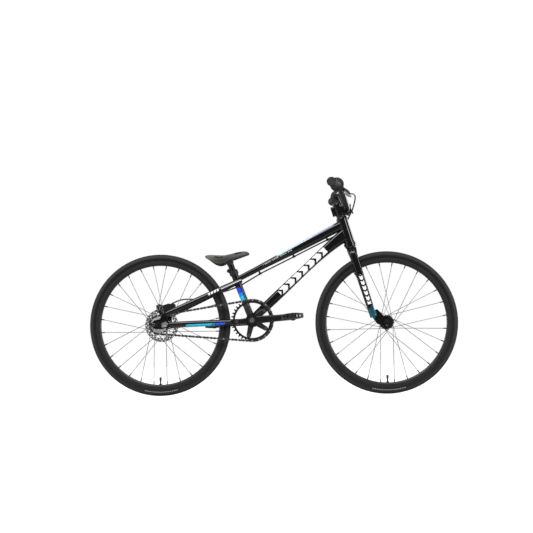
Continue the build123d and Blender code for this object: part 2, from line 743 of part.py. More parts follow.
for side, name in ((-1, "right"), (1, "left")):
    tip = crank_tip(side)
    flat = (crank_tip(-1) - CRANK).normalized()
    pedal_plane = Plane(origin=tip + Vector(0, side * PEDAL_CENTRE, 0), x_dir=flat, z_dir=(-flat.Z, 0, flat.X))
    with BuildPart() as pedal:
        with BuildSketch(pedal_plane.offset(-PEDAL_THICKNESS / 2)):
            with BuildLine():
                Polyline(
                    (-24, -43),
                    (24, -43),
                    (37, -34),
                    (39, 0),
                    (37, 34),
                    (24, 43),
                    (-24, 43),
                    (-37, 34),
                    (-39, 0),
                    (-37, -34),
                    close=True,
                )
            make_face()
            for end in (-1, 1):
                with Locations((end * 21.5, -19.5), (end * 21.5, 19.5)):
                    RectangleRounded(19, 31, 5, mode=Mode.SUBTRACT)
        extrude(amount=PEDAL_THICKNESS)
        # the platform is thinner at its front and back than over the spindle
        for end in (-1, 1):
            for face in (-1, 1):
                with BuildSketch(Plane(origin=pedal_plane.origin, x_dir=flat, z_dir=(0, 1, 0))):
                    with BuildLine():
                        Polyline(
                            (end * 12, face * 14),
                            (end * 12, face * 10.1),
                            (end * 39.5, face * 7.0),
                            (end * 39.5, face * 14),
                            close=True,
                        )
                    make_face()
                extrude(amount=60, both=True, mode=Mode.SUBTRACT)
        with BuildSketch(Plane(origin=pedal_plane.origin, x_dir=flat, z_dir=(0, 1, 0))):
            with Locations((-27.0, 0), (27.0, 0)):
                RectangleRounded(5.0, 8.0, 1.2)
            with Locations((-15.5, 0), (15.5, 0)):
                RectangleRounded(5.5, 11.0, 1.2)
        extrude(amount=60, both=True, mode=Mode.SUBTRACT)
        inner_end = Vector(tip.X, side * (pedal_inner - 1), tip.Z)
        outer_end = Vector(tip.X, side * (pedal_outer - 7), tip.Z)
        add(rod(inner_end, outer_end, PEDAL_BORE), mode=Mode.SUBTRACT)
    save(pedal.part, f"pedal_{name}")

with BuildPart() as bottom_bracket_cups:
    for side in (-1, 1):
        cup = [(side * 20, 12 + RUNNING_GAP), (side * 20, 17.4), (side * 34.05, 17.4), (side * 34.05, 19.5)]
        cup += [(side * 38.5, 19.5), (side * 38.5, 12 + RUNNING_GAP)]
        add(turned(CRANK, cup))
save(bottom_bracket_cups.part, "bottom_bracket_cups")


# ---------------------------------------------------------------- frame
head_low = steer_point(HEAD_TUBE_BOTTOM)
head_high = steer_point(HEAD_TUBE_TOP)
with BuildPart() as head_tube:
    add(rod(head_low, head_high, HEAD_TUBE_RADIUS, 15.5))
    add(rod(head_low, head_low + STEER_UP * 8, 22.0, 15.5))
    add(rod(head_high - STEER_UP * 7, head_high, 21.0, 15.5))
save(head_tube.part, "head_tube")
head_solid = rod(head_low - STEER_UP * 2, head_high + STEER_UP * 2, HEAD_TUBE_RADIUS + 0.02)
head_collars = [
    rod(head_low - STEER_UP, head_low + STEER_UP * 8.02, 22.02),
    rod(head_high - STEER_UP * 7.02, head_high + STEER_UP, 21.02),
]

with BuildPart() as bottom_bracket_shell:
    add(rod((CRANK.X, -34, CRANK.Z), (CRANK.X, 34, CRANK.Z), 22.0, 17.5))
save(bottom_bracket_shell.part, "bottom_bracket_shell")
shell_solid = rod((CRANK.X, -40, CRANK.Z), (CRANK.X, 40, CRANK.Z), 22.02)

seat_foot = seat_point(CRANK.Z)
seat_top = seat_point(SEAT_TUBE_TOP)
with BuildPart() as seat_tube:
    add(rod(seat_foot, seat_top, SEAT_TUBE_RADIUS, SEAT_POST_RADIUS + 0.08))
    add(shell_solid, mode=Mode.SUBTRACT)
save(seat_tube.part, "seat_tube")
seat_solid = rod(seat_foot, seat_top + (seat_top - seat_foot).normalized() * 4, SEAT_TUBE_RADIUS + 0.02)

with BuildPart() as top_tube:
    add(
        oval_tube(
            [
                ((-126.0, 0, 413.7), 9.6, 11.0),
                ((-81.4, 0, 436.2), 9.8, 12.0),
                ((30.0, 0, 492.3), 12.6, 14.5),
                ((134.9, 0, 545.1), 15.8, 16.5),
                ((210.0, 0, 582.9), 16.5, 17.0),
                ((262.0, 0, 609.1), 17.0, 17.0),
            ],
            1.6,
            flat=0.35,
        )
    )
    add(head_solid, mode=Mode.SUBTRACT)
    for collar in head_collars:
        add(collar, mode=Mode.SUBTRACT)
    add(seat_solid, mode=Mode.SUBTRACT)
    for scrap in top_tube.solids().sort_by(SortBy.VOLUME)[:-1]:
        add(scrap, mode=Mode.SUBTRACT)
save(top_tube.part, "top_tube")

with BuildPart() as down_tube:
    add(
        oval_tube(
            [
                ((-66.0, 0, 276.6), 14.0, 16.0),
                ((-32.9, 0, 307.2), 15.6, 18.0),
                ((60.0, 0, 392.9), 15.8, 19.0),
                ((170.0, 0, 494.4), 16.2, 19.0),
                ((225.0, 0, 541.0), 20.0, 18.5),
                ((268.0, 0, 572.0), 23.5, 18.0),
            ],
            1.6,
            flat=0.45,
        )
    )
    add(head_solid, mode=Mode.SUBTRACT)
    for collar in head_collars:
        add(collar, mode=Mode.SUBTRACT)
    add(shell_solid, mode=Mode.SUBTRACT)
    add(seat_solid, mode=Mode.SUBTRACT)
    top_filled = oval_tube(
        [
            ((30.0, 0, 492.3), 12.7, 14.6),
            ((134.9, 0, 545.1), 15.9, 16.6),
            ((210.0, 0, 582.9), 16.6, 17.1),
            ((270.0, 0, 613.1), 17.1, 17.1),
        ],
        9.0,
        flat=0.35,
    )
    add(top_filled, mode=Mode.SUBTRACT)
    down_pieces = down_tube.solids().sort_by(SortBy.VOLUME)
    for scrap in down_pieces[:-1]:
        add(scrap, mode=Mode.SUBTRACT)
save(down_tube.part, "down_tube")

REAR_DROPOUT_Y = REAR_SPACING / 2 + DROPOUT_THICKNESS / 2
CHAINSTAY_ROUTE = [(-84, 21, 263.3), (-120, 25, 262.0), (-160, 31, 260.6), (-300, 51, 256.0), (-366, 58, 253.8)]
SEATSTAY_ROUTE = [(-112, 12, 411), (-150, 21, 393.7), (-205, 31, 368.5), (-310, 53, 320.4), (-378, 59, 289.3)]
with BuildPart() as chainstays:
    for side in (-1, 1):
        route = [(x, side * y, z) for x, y, z in CHAINSTAY_ROUTE]
        halves = [(9.8, 7.5), (9.8, 7.5), (9.8, 7.0), (9.6, 5.6), (9.0, 4.4)]
        add(oval_tube([(p, high, wide) for p, (high, wide) in zip(route, halves)], 1.4))
    add(shell_solid, mode=Mode.SUBTRACT)
save(chainstays.part, "chainstays")

with BuildPart() as seatstays:
    for side in (-1, 1):
        route = [(x, side * y, z) for x, y, z in SEATSTAY_ROUTE]
        halves = [(8.6, 6.0), (9.0, 6.5), (9.5, 6.0), (9.6, 5.0), (9.0, 4.2)]
        add(oval_tube([(p, high, wide) for p, (high, wide) in zip(route, halves)], 1.4))
    add(seat_solid, mode=Mode.SUBTRACT)
    add(rod((-146, -16.5, 396.0), (-146, 16.5, 396.0), 6.0))
    add(top_tube.part, mode=Mode.SUBTRACT)
    for scrap in seatstays.solids().sort_by(SortBy.VOLUME)[:-1]:
        add(scrap, mode=Mode.SUBTRACT)
save(seatstays.part, "seatstays")


def rear_dropout(side):
    """The plate that takes the axle, with a window in front of it and a slot open to the rear."""
    x, z = REAR_AXLE.X, REAR_AXLE.Z
    outline = [
        (x - 22, z - 7.5),
        (x - 16, z - 14),
        (x + 10, z - 16),
        (x + 44, z - 10),
        (x + 44, z + 8),
        (x + 36, z + 12),
        (x + 34, z + 30),
        (x + 30, z + 43),
        (x + 16, z + 38),
        (x + 6, z + 20),
        (x - 14, z + 15),
        (x - 22, z + 7.5),
    ]
    y = side * REAR_DROPOUT_Y
    with BuildPart() as body:
        add(plate(outline, y, DROPOUT_THICKNESS))
        window = [(x + 12, z + 8), (x + 12, z - 10), (x + 27, z - 9.5)]
        window += [(x + 36, z - 4), (x + 36, z + 4), (x + 28, z + 11)]
        add(plate(window, y, DROPOUT_THICKNESS + 2), mode=Mode.SUBTRACT)
        slot = [(x, z - 5.15), (x, z + 5.15), (x - 30, z + 5.15), (x - 30, z - 5.15)]
        add(plate(slot, y, DROPOUT_THICKNESS + 2), mode=Mode.SUBTRACT)
        add(rod((x, y - 5, z), (x, y + 5, z), 5.15), mode=Mode.SUBTRACT)
    return body.part


stay_cutters = [chainstays.part, seatstays.part]
with BuildPart() as dropout_right:
    add(rear_dropout(-1))
    for stay in stay_cutters:
        add(stay, mode=Mode.SUBTRACT)
    for scrap in dropout_right.solids().sort_by(SortBy.VOLUME)[:-1]:
        add(scrap, mode=Mode.SUBTRACT)

with BuildPart() as dropout_left:
    add(rear_dropout(1))
    post_outline = [(-400, 270), (-417, 298), (-418, 318), (-404, 322), (-386, 316), (-368, 328), (-356, 324)]
    post_outline += [(-360, 300), (-375, 290)]
    post_holes = [(x, z, CALIPER_BOLT_RADIUS + 0.1) for x, z in CALIPER_BOLTS]
    add(plate(post_outline, REAR_DROPOUT_Y, DROPOUT_THICKNESS, post_holes))
    for stay in stay_cutters:
        add(stay, mode=Mode.SUBTRACT)
    for scrap in dropout_left.solids().sort_by(SortBy.VOLUME)[:-1]:
        add(scrap, mode=Mode.SUBTRACT)
with BuildPart() as rear_dropouts:
    add([dropout_right.part, dropout_left.part])
save(rear_dropouts.part, "rear_dropouts")

with BuildPart() as headset_bearings:
    for start, end in ((head_low, head_low + STEER_UP * 8), (head_high - STEER_UP * 8, head_high)):
        add(rod(start, end, 15.45, STEERER_RADIUS + RUNNING_GAP))
save(headset_bearings.part, "headset_bearings")

post_axis = (seat_top - seat_foot).normalized()
clamp_low = seat_top - post_axis * 17
with BuildPart() as seat_clamp:
    add(rod(clamp_low, seat_top - post_axis * 0.5, 16.4, SEAT_TUBE_RADIUS + 0.05))
    ear = seat_top - post_axis * 9
    with BuildSketch(Plane(origin=ear - Vector(14.5, 0, -5.5), x_dir=(0, 1, 0), z_dir=(-1, 0, 0.378))):
        RectangleRounded(19, 13, 3)
    extrude(amount=9)
    add(rod(clamp_low - post_axis * 12, seat_top + post_axis * 16, SEAT_TUBE_RADIUS + 0.05), mode=Mode.SUBTRACT)
save(seat_clamp.part, "seat_clamp")

axle_y = REAR_SPACING / 2
rear_nut_inner = axle_y + DROPOUT_THICKNESS + 3.6
front_nut_inner = FRONT_SPACING / 2 + DROPOUT_THICKNESS + 0.05


def axle_bar(axle, nut_inner, end):
    """An axle whose two ends are turned down outside the nuts."""
    shank = nut_inner + WASHER_THICKNESS + NUT_HEIGHT
    with BuildPart() as bar:
        add(rod((axle.X, -shank, axle.Z), (axle.X, shank, axle.Z), AXLE_RADIUS))
        add(rod((axle.X, -end, axle.Z), (axle.X, end, axle.Z), AXLE_TIP_RADIUS))
    return bar.part


with BuildPart() as rear_axle:
    add(axle_bar(REAR_AXLE, rear_nut_inner, REAR_AXLE_END))
    add(rod((REAR_AXLE.X, -axle_y, REAR_AXLE.Z), (REAR_AXLE.X, -49.3, REAR_AXLE.Z), 8.5))
    add(rod((REAR_AXLE.X, 47.2, REAR_AXLE.Z), (REAR_AXLE.X, axle_y, REAR_AXLE.Z), 8.5))
    add(rod((REAR_AXLE.X, 43.0, REAR_AXLE.Z), (REAR_AXLE.X, 47.2, REAR_AXLE.Z), 7.0))
save(rear_axle.part, "rear_axle")


def axle_nuts(axle, inner_y):
    """A flanged hexagon nut with its washer on each end of an axle."""
    with BuildPart() as nuts:
        for side in (-1, 1):
            seat = inner_y + WASHER_THICKNESS
            add(rod((axle.X, side * inner_y, axle.Z), (axle.X, side * seat, axle.Z), 10.5, AXLE_RADIUS + 0.06))
            low, high = sorted((side * seat, side * (seat + NUT_HEIGHT)))
            add(hexagon(axle, low, high, 15.0, AXLE_RADIUS + 0.06))
    return nuts.part


rear_nuts = axle_nuts(REAR_AXLE, rear_nut_inner)

tensioner_shapes = []
for side in (-1, 1):
    y = side * (axle_y + DROPOUT_THICKNESS + 1.8)
    x, z = REAR_AXLE.X, REAR_AXLE.Z
    with BuildPart() as tensioner:
        add(rod((x, y - 1.6, z), (x, y + 1.6, z), 10.5))
        add(plate([(x, z - 3), (x, z + 3), (x - 31, z + 3), (x - 31, z - 3)], y, 3.2))
        add(rod((x, y - 4, z), (x, y + 4, z), 5.1), mode=Mode.SUBTRACT)
    with BuildPart() as end_cap:
        cap_y = side * (axle_y + DROPOUT_THICKNESS / 2)
        with BuildSketch(Plane(origin=(x - 22.2, cap_y, z), x_dir=(0, 1, 0), z_dir=(-1, 0, 0))):
            RectangleRounded(12, 15, 3)
        extrude(amount=3)
        add(tensioner.part, mode=Mode.SUBTRACT)
    tensioner_shapes += [tensioner.part, end_cap.part]
with BuildPart() as chain_tensioners:
    add(tensioner_shapes)
save(chain_tensioners.part, "chain_tensioners")

# ---------------------------------------------------------------- rear brake
HOSE_FRAME_ROUTE = [
    (-363, 46, 334),
    (-343, 45, 343),
    (-318, 43, 347.5),
    (-290, 38.5, 346),
    (-268, 34, 347),
    (-245, 29.5, 353),
    (-205, 21.5, 366),
    (-175, 16, 371),
    (-146, 15.5, 380),
    (-116, 17.5, 392),
    (-80, 14, 413),
    (-40, 7.5, 436),
    (0, 6, 455.0),
    (70, 6, 489.0),
    (140, 9, 524.0),
    (205, 18, 556),
    (236, 25, 571),
]
CALIPER_Y = ROTOR_Y
CALIPER_OUTLINE = [
    (-424, 325),
    (-421, 304),
    (-402, 294),
    (-378, 292),
    (-363, 302),
    (-353, 317),
    (-356, 330),
    (-380, 332),
    (-398, 326),
    (-413, 331),
]
with BuildPart() as brake_caliper:
    with BuildSketch(Plane(origin=(0, CALIPER_Y - 11, 0), x_dir=(1, 0, 0), z_dir=(0, -1, 0))):
        with BuildLine():
            Polyline(*CALIPER_OUTLINE, close=True)
        make_face()
    extrude(amount=-21.5)
    slot_start = Vector(REAR_AXLE.X, CALIPER_Y - 3.4, REAR_AXLE.Z)
    add(rod(slot_start, slot_start + Vector(0, 6.8, 0), ROTOR_RADIUS + 2), mode=Mode.SUBTRACT)
    add(rod((-372, 46, 325), HOSE_FRAME_ROUTE[0], 4.0))
    for stay in stay_cutters:
        add(stay, mode=Mode.SUBTRACT)
    for scrap in brake_caliper.solids().sort_by(SortBy.VOLUME)[:-1]:
        add(scrap, mode=Mode.SUBTRACT)
save(brake_caliper.part, "brake_caliper")

PAD_TRAVEL = 0.3
pad_outline = [(-406.5, 298.5), (-407, 312), (-393.7, 311.3), (-381, 307.4), (-386.7, 294.6), (-396.4, 297.7)]
for side, name in ((-1, "brake_pad_inner"), (1, "brake_pad_outer")):
    gap = 1.0 + PAD_TRAVEL + 0.05
    y = CALIPER_Y + side * (gap + 0.75)
    save(plate(pad_outline, y, 1.5), name)

with BuildPart() as frame_bolts:
    add(rear_nuts)
    for x, z in CALIPER_BOLTS:
        add(rod((x, 55.0, z), (x, 61.4, z), CALIPER_BOLT_RADIUS))
        add(rod((x, 61.3, z), (x, 65.5, z), 5.0))
    bolt = seat_top - post_axis * 9 + Vector(-19.0, 0, 7.0)
    add(rod(bolt + Vector(0, -11.0, 0), bolt + Vector(0, -9.55, 0), 5.0))
    add(rod(bolt + Vector(0, 9.55, 0), bolt + Vector(0, 12.0, 0), 4.5))
save(frame_bolts.part, "frame_bolts_and_axle_nuts")

def hose(route, radius):
    """A hose along straight runs joined by arcs as large as the runs allow."""
    points = [Vector(p) for p in route]
    radii = []
    for before, corner, after in zip(points, points[1:], points[2:]):
        turn = (corner - before).get_angle(after - corner)
        shorter = min((corner - before).length, (after - corner).length)
        radii.append(0.45 * shorter / sin(radians(turn / 2)) * cos(radians(turn / 2)))
    with BuildPart() as body:
        with BuildLine() as path:
            FilletPolyline(*points, radius=radii)
        with BuildSketch(Plane(origin=path.line @ 0, z_dir=path.line % 0)):
            Circle(radius)
        sweep()
    return body.part


frame_hose = hose(HOSE_FRAME_ROUTE, HOSE_RADIUS)
save(frame_hose, "brake_hose")

GUIDE_PLACES = [(-44, 8.1, 433.9), (78, 6.3, 493.2), (199, 17.1, 553.1)]
with BuildPart() as hose_guides:
    for x, y, z in GUIDE_PLACES:
        along = Vector(0.894, 0.04, 0.447)
        centre = Vector(x, y, z)
        add(rod(centre - along * 5, centre + along * 5, HOSE_RADIUS + 1.6))
        add(rod(centre, centre + Vector(-0.447, 0, 0.894) * 9, 3.0))
    for piece in (top_tube.part, down_tube.part, frame_hose):
        add(piece, mode=Mode.SUBTRACT)
    for scrap in hose_guides.solids().sort_by(SortBy.VOLUME)[: -len(GUIDE_PLACES)]:
        add(scrap, mode=Mode.SUBTRACT)
save(hose_guides.part, "hose_guides")

# ---------------------------------------------------------------- fork
CROWN_TOP = 524.5
CROWN_BOTTOM = 492.0
FORK_DROPOUT_Y = FRONT_SPACING / 2 + DROPOUT_THICKNESS / 2
with BuildPart() as fork_crown:
    add(rod(steer_point(CROWN_BOTTOM), steer_point(676), STEERER_RADIUS, 10.5))
    for z, half_deep, half_wide in ((CROWN_BOTTOM, 13.5, 56.0), (508.0, 16.0, 52.0), (CROWN_TOP, 15.5, 24.0)):
        with BuildSketch(Plane(origin=steer_point(z), x_dir=STEER_FORWARD, z_dir=STEER_UP)):
            RectangleRounded(2 * half_deep, 2 * half_wide, half_deep * 0.8)
    loft()
    add(rod(steer_point(CROWN_TOP - 1), steer_point(HEAD_TUBE_BOTTOM - 0.6), 20.0))
    add(rod(steer_point(CROWN_BOTTOM - 2), steer_point(676.5), 10.5), mode=Mode.SUBTRACT)
save(fork_crown.part, "fork_crown_and_steerer")

fork_end_height = TYRE_RADIUS + 14.0
leg_shapes = []
for side in (-1, 1):
    stations = [
        (steer_point(CROWN_BOTTOM - 0.03, 0, side * 43.0), 13.5, 9.5),
        (steer_point(430.0, 0, side * 45.5), 13.0, 9.3),
        (steer_point(340.0, 0, side * 50.0), 11.4, 7.6),
        (steer_point(fork_end_height + 6, 0, side * 53.0), 10.0, 5.4),
    ]
    with BuildPart() as fork_leg:
        for point, half_deep, half_wide in stations:
            with BuildSketch(Plane(origin=point, x_dir=STEER_FORWARD, z_dir=STEER_UP)):
                RectangleRounded(2 * half_deep, 2 * half_wide, half_wide * 0.75)
        loft()
        x, z = FRONT_AXLE.X, FRONT_AXLE.Z
        ends = [(x - 58, z + 33), (x - 33, z - 3), (x - 14, z - 13), (x + 6, z - 12), (x + 13, z - 4)]
        ends += [(x + 13, z + 8), (x + 6, z + 15), (x - 10, z + 20), (x - 34, z + 46)]
        add(plate(ends, side * FORK_DROPOUT_Y, DROPOUT_THICKNESS))
        add(rod((x, side * 48, z), (x, side * 60, z), 5.15), mode=Mode.SUBTRACT)
        opening = [(x - 4.9, z), (x - 4.9, z - 20), (x + 4.9, z - 20), (x + 4.9, z)]
        add(plate(opening, side * FORK_DROPOUT_Y, DROPOUT_THICKNESS + 8), mode=Mode.SUBTRACT)
    leg_shapes.append(fork_leg.part)
with BuildPart() as fork_legs:
    add(leg_shapes)
save(fork_legs.part, "fork_legs")

with BuildPart() as front_axle:
    add(axle_bar(FRONT_AXLE, front_nut_inner, FRONT_AXLE_END))
    for side in (-1, 1):
        inner = (FRONT_AXLE.X, side * 37.4, FRONT_AXLE.Z)
        outer = (FRONT_AXLE.X, side * FRONT_SPACING / 2, FRONT_AXLE.Z)
        add(rod(inner, outer, 8.5))
save(front_axle.part, "front_axle")
save(axle_nuts(FRONT_AXLE, front_nut_inner), "front_axle_nuts")

with BuildPart() as headset_cover:
    add(rod(steer_point(HEAD_TUBE_TOP + 0.6), steer_point(631), 20.5, STEERER_RADIUS + 0.03, end_radius=18.0))
    add(rod(steer_point(631), steer_point(STEM_LOW - 0.3), 16.5, STEERER_RADIUS + 0.03))
save(headset_cover.part, "headset_cover_and_spacers")

# ---------------------------------------------------------------- stem and handlebar
bar_centre = Vector(BAR_POINTS[0])
STEM_WIDTH = 46.0
CLAMP_GAP = 1.2
clamp_cut = rod(bar_centre - Vector(0, 40, 0), bar_centre + Vector(0, 40, 0), BAR_RADIUS + 0.04)

with BuildPart() as stem_body:
    add(rod(steer_point(STEM_LOW), steer_point(STEM_HIGH), 18.5))
    back_origin = steer_point((STEM_LOW + STEM_HIGH) / 2)
    with BuildSketch(Plane(origin=back_origin - STEER_FORWARD * 27, x_dir=(0, 1, 0), z_dir=STEER_FORWARD)):
        RectangleRounded(28, 34, 5)
    extrude(amount=27)
    front_gap = (bar_centre - back_origin).dot(STEER_FORWARD) - CLAMP_GAP / 2
    drop = (bar_centre - back_origin).dot(STEER_UP)
    with BuildSketch(Plane(origin=back_origin, x_dir=(0, 1, 0), z_dir=STEER_FORWARD)):
        RectangleRounded(34, 34, 5)
    front_origin = back_origin + STEER_FORWARD * front_gap + STEER_UP * drop
    with BuildSketch(Plane(origin=front_origin, x_dir=(0, 1, 0), z_dir=STEER_FORWARD)):
        RectangleRounded(STEM_WIDTH, 38, 6)
    loft()
    add(clamp_cut, mode=Mode.SUBTRACT)
    add(rod(steer_point(STEM_LOW - 14), steer_point(STEM_HIGH + 14), STEERER_RADIUS + 0.03), mode=Mode.SUBTRACT)
    add(rod(steer_point(STEM_LOW - 16), steer_point(STEM_LOW), 21.0), mode=Mode.SUBTRACT)
    with BuildSketch(Plane(origin=back_origin - STEER_FORWARD * 30, x_dir=(0, 1, 0), z_dir=STEER_FORWARD)):
        Rectangle(2, 60)
    extrude(amount=20, mode=Mode.SUBTRACT)
save(stem_body.part, "stem_body")

plate_origin = front_origin + STEER_FORWARD * CLAMP_GAP
with BuildPart() as stem_faceplate:
    with BuildSketch(Plane(origin=plate_origin, x_dir=(0, 1, 0), z_dir=STEER_FORWARD)):
        RectangleRounded(STEM_WIDTH, 38, 6)
    with BuildSketch(Plane(origin=plate_origin + STEER_FORWARD * 14, x_dir=(0, 1, 0), z_dir=STEER_FORWARD)):
        RectangleRounded(STEM_WIDTH - 4, 24, 5)
    loft()
    add(clamp_cut, mode=Mode.SUBTRACT)
    with BuildSketch(Plane(origin=plate_origin + STEER_FORWARD * 10, x_dir=(0, 1, 0), z_dir=STEER_FORWARD)):
        RectangleRounded(20, 10, 2)
    extrude(amount=10, mode=Mode.SUBTRACT)
save(stem_faceplate.part, "stem_faceplate")

with BuildPart() as stem_bolts:
    for y in (-15.5, 15.5):
        for up in (-14.5, 14.5):
            head = plate_origin + STEER_UP * up + Vector(0, y, 0) + STEER_FORWARD * 14.2
            add(rod(head, head + STEER_FORWARD * 3.0, 3.6))
    for up in (-9.5, 9.5):
        back = back_origin - STEER_FORWARD * 21.5 + STEER_UP * up
        for side in (-1, 1):
            add(rod(back + Vector(0, side * 14.05, 0), back + Vector(0, side * 17.0, 0), 3.8))
    add(rod(steer_point(STEM_HIGH + 1.6), steer_point(STEM_HIGH + 7.5), 17.0, end_radius=14.5))
    add(rod(steer_point(STEM_HIGH + 7.4), steer_point(STEM_HIGH + 9.4), 4.5))
save(stem_bolts.part, "stem_bolts_and_cap")

bar_corners = [Vector(x, -y, z) for x, y, z in reversed(BAR_POINTS[1:])]
bar_corners += [Vector(p) for p in BAR_POINTS[1:]]
with BuildPart() as handlebar:
    with BuildLine() as bar_line:
        FilletPolyline(*bar_corners, radius=[62, 30, 30, 62])
    with BuildSketch(Plane(origin=bar_line.line @ 0, z_dir=bar_line.line % 0)):
        Circle(BAR_RADIUS)
        Circle(BAR_RADIUS - 1.6, mode=Mode.SUBTRACT)
    sweep()
save(handlebar.part, "handlebar")


def bar_place(side, across):
    """A point on the straight outer length of the handlebar at a distance from the middle."""
    bend, end = Vector(BAR_POINTS[2]), Vector(BAR_POINTS[3])
    t = (across - abs(bend.Y)) / (abs(end.Y) - abs(bend.Y))
    point = bend + (end - bend) * t
    return Vector(point.X, side * across, point.Z)


grip_shapes = []
for side in (-1, 1):
    start, end = bar_place(side, GRIP_START), bar_place(side, GRIP_END)
    outward = (end - start).normalized()
    with BuildPart() as grip:
        add(rod(start, end, GRIP_RADIUS))
        add(rod(start, start + outward * 3.5, 24.5))
        for k in range(11):
            ring = start + outward * (14 + 9 * k)
            add(rod(ring, ring + outward * 4.5, GRIP_RADIUS + 0.8))
        add(rod(start - outward, end + outward, BAR_RADIUS + 0.04), mode=Mode.SUBTRACT)
    grip_shapes.append(grip.part)
with BuildPart() as grips:
    add(grip_shapes)
save(grips.part, "grips")

with BuildPart() as bar_end_plugs:
    for side in (-1, 1):
        end = bar_place(side, GRIP_END)
        outward = (end - bar_place(side, GRIP_START)).normalized()
        add(rod(end + outward * 0.05, end + outward * 3.5, GRIP_RADIUS, end_radius=GRIP_RADIUS - 2))
        add(rod(end - outward * 14, end + outward * 0.1, BAR_RADIUS - 1.7))
save(bar_end_plugs.part, "bar_end_plugs")

# ---------------------------------------------------------------- brake lever
LEVER_CLAMP_Y = 165.0
LEVER_DROP = 42.0  # the lever points this much below level
lever_clamp = bar_place(-1, LEVER_CLAMP_Y)
bar_outward = (bar_place(-1, GRIP_END) - lever_clamp).normalized()
lever_forward = Vector(cos(radians(LEVER_DROP)), 0, -sin(radians(LEVER_DROP)))
lever_forward = (lever_forward - bar_outward * lever_forward.dot(bar_outward)).normalized()
lever_up = bar_outward.cross(lever_forward).normalized()
body_inner = lever_clamp - bar_outward * 38 + lever_forward * 36
body_outer = lever_clamp + bar_outward * 8 + lever_forward * 36
hose_end = body_inner - bar_outward * 18
LEVER_PIVOT = lever_clamp + bar_outward * 4 + lever_forward * 47
with BuildPart() as brake_lever_body:
    add(rod(lever_clamp - bar_outward * 6, lever_clamp + bar_outward * 6, 16.0))
    add(rod(lever_clamp, lever_clamp + lever_forward * 32, 8.0))
    add(rod(body_inner, body_outer, 9.0, end_radius=10.0))
    with Locations(body_outer):
        Sphere(10.0)
    with Locations(body_inner):
        Sphere(9.0)
    add(rod(body_inner, hose_end, 3.9))
    with BuildSketch(Plane(origin=body_outer, x_dir=bar_outward, z_dir=lever_forward)):
        RectangleRounded(17, 15, 3)
    extrude(amount=20)
    with BuildSketch(Plane(origin=LEVER_PIVOT - lever_up * 3.6, x_dir=lever_forward, z_dir=lever_up)):
        with Locations((8, 0)):
            Rectangle(32, 60)
    extrude(amount=7.2, mode=Mode.SUBTRACT)
    add(rod(lever_clamp - bar_outward * 8, lever_clamp + bar_outward * 8, BAR_RADIUS + 0.04), mode=Mode.SUBTRACT)
    add(rod(LEVER_PIVOT - lever_up * 6.8, LEVER_PIVOT + lever_up * 6.8, 2.5))
save(brake_lever_body.part, "brake_lever_body")

# the free hose in front of the head tube, from the last frame guide up to the lever
last_guide = Vector(HOSE_FRAME_ROUTE[-1])
hose_heading = (last_guide - Vector(HOSE_FRAME_ROUTE[-2])).normalized()
HOSE_LOOP_ROUTE = [
    last_guide + hose_heading * 0.05,
    last_guide + hose_heading * 20,
    (265, 31, 605),
    (275, 32, 632),
    (289, 31, 657),
    (297, 14, 682),
    (301, -18, 700),
    (297, -55, 708),
    hose_end - bar_outward * 26,
    hose_end - bar_outward * 0.05,
]
save(hose(HOSE_LOOP_ROUTE, HOSE_RADIUS), "brake_hose_loop")

BLADE_POINTS = [(0, 0), (12, 13), (34, 17), (70, 11), (96, 6), (112, 9)]  # outward, forward of the pivot
BLADE_STEPS = 24
HEEL_STEPS = 5
with BuildPart() as brake_lever_blade:
    blade_plane = Plane(origin=LEVER_PIVOT - lever_up * 3.2, x_dir=bar_outward, z_dir=lever_up)
    blade_sign = 1 if blade_plane.y_dir.dot(lever_forward) > 0 else -1
    with BuildSketch(blade_plane):
        with BuildLine() as blade_line:
            Spline(*[(x, y * blade_sign) for x, y in BLADE_POINTS[1:]])
            Line((0, 0), (12, 13 * blade_sign))
        long_edge = blade_line.edges().sort_by(SortBy.LENGTH)[-1]
        for k in range(BLADE_STEPS):
            with Locations(long_edge.position_at(k / (BLADE_STEPS - 1))):
                Circle(3.6 if k < BLADE_STEPS - 1 else 5.2)
        for k in range(HEEL_STEPS):
            t = k / (HEEL_STEPS - 1)
            with Locations((12 * t, 13 * t * blade_sign)):
                Circle(5.5 - 1.8 * t)
        Circle(2.5 + RUNNING_GAP, mode=Mode.SUBTRACT)
    extrude(amount=6.4)
save(brake_lever_blade.part, "brake_lever_blade")

# ---------------------------------------------------------------- seat
post_top = seat_point(472.0)
with BuildPart() as seat_post:
    add(rod(seat_point(340.0), post_top, SEAT_POST_RADIUS, 9.0))
    with BuildSketch(Plane(origin=post_top - post_axis * 6, x_dir=(0, 1, 0), z_dir=post_axis)):
        Circle(SEAT_POST_RADIUS)
    with BuildSketch(Plane(origin=post_top + post_axis * 12, x_dir=(0, 1, 0), z_dir=post_axis)):
        RectangleRounded(27, 36, 8)
    loft()
    add(rod(post_top + post_axis * 4, post_top + post_axis * 20, 4.2), mode=Mode.SUBTRACT)
save(seat_post.part, "seat_post")

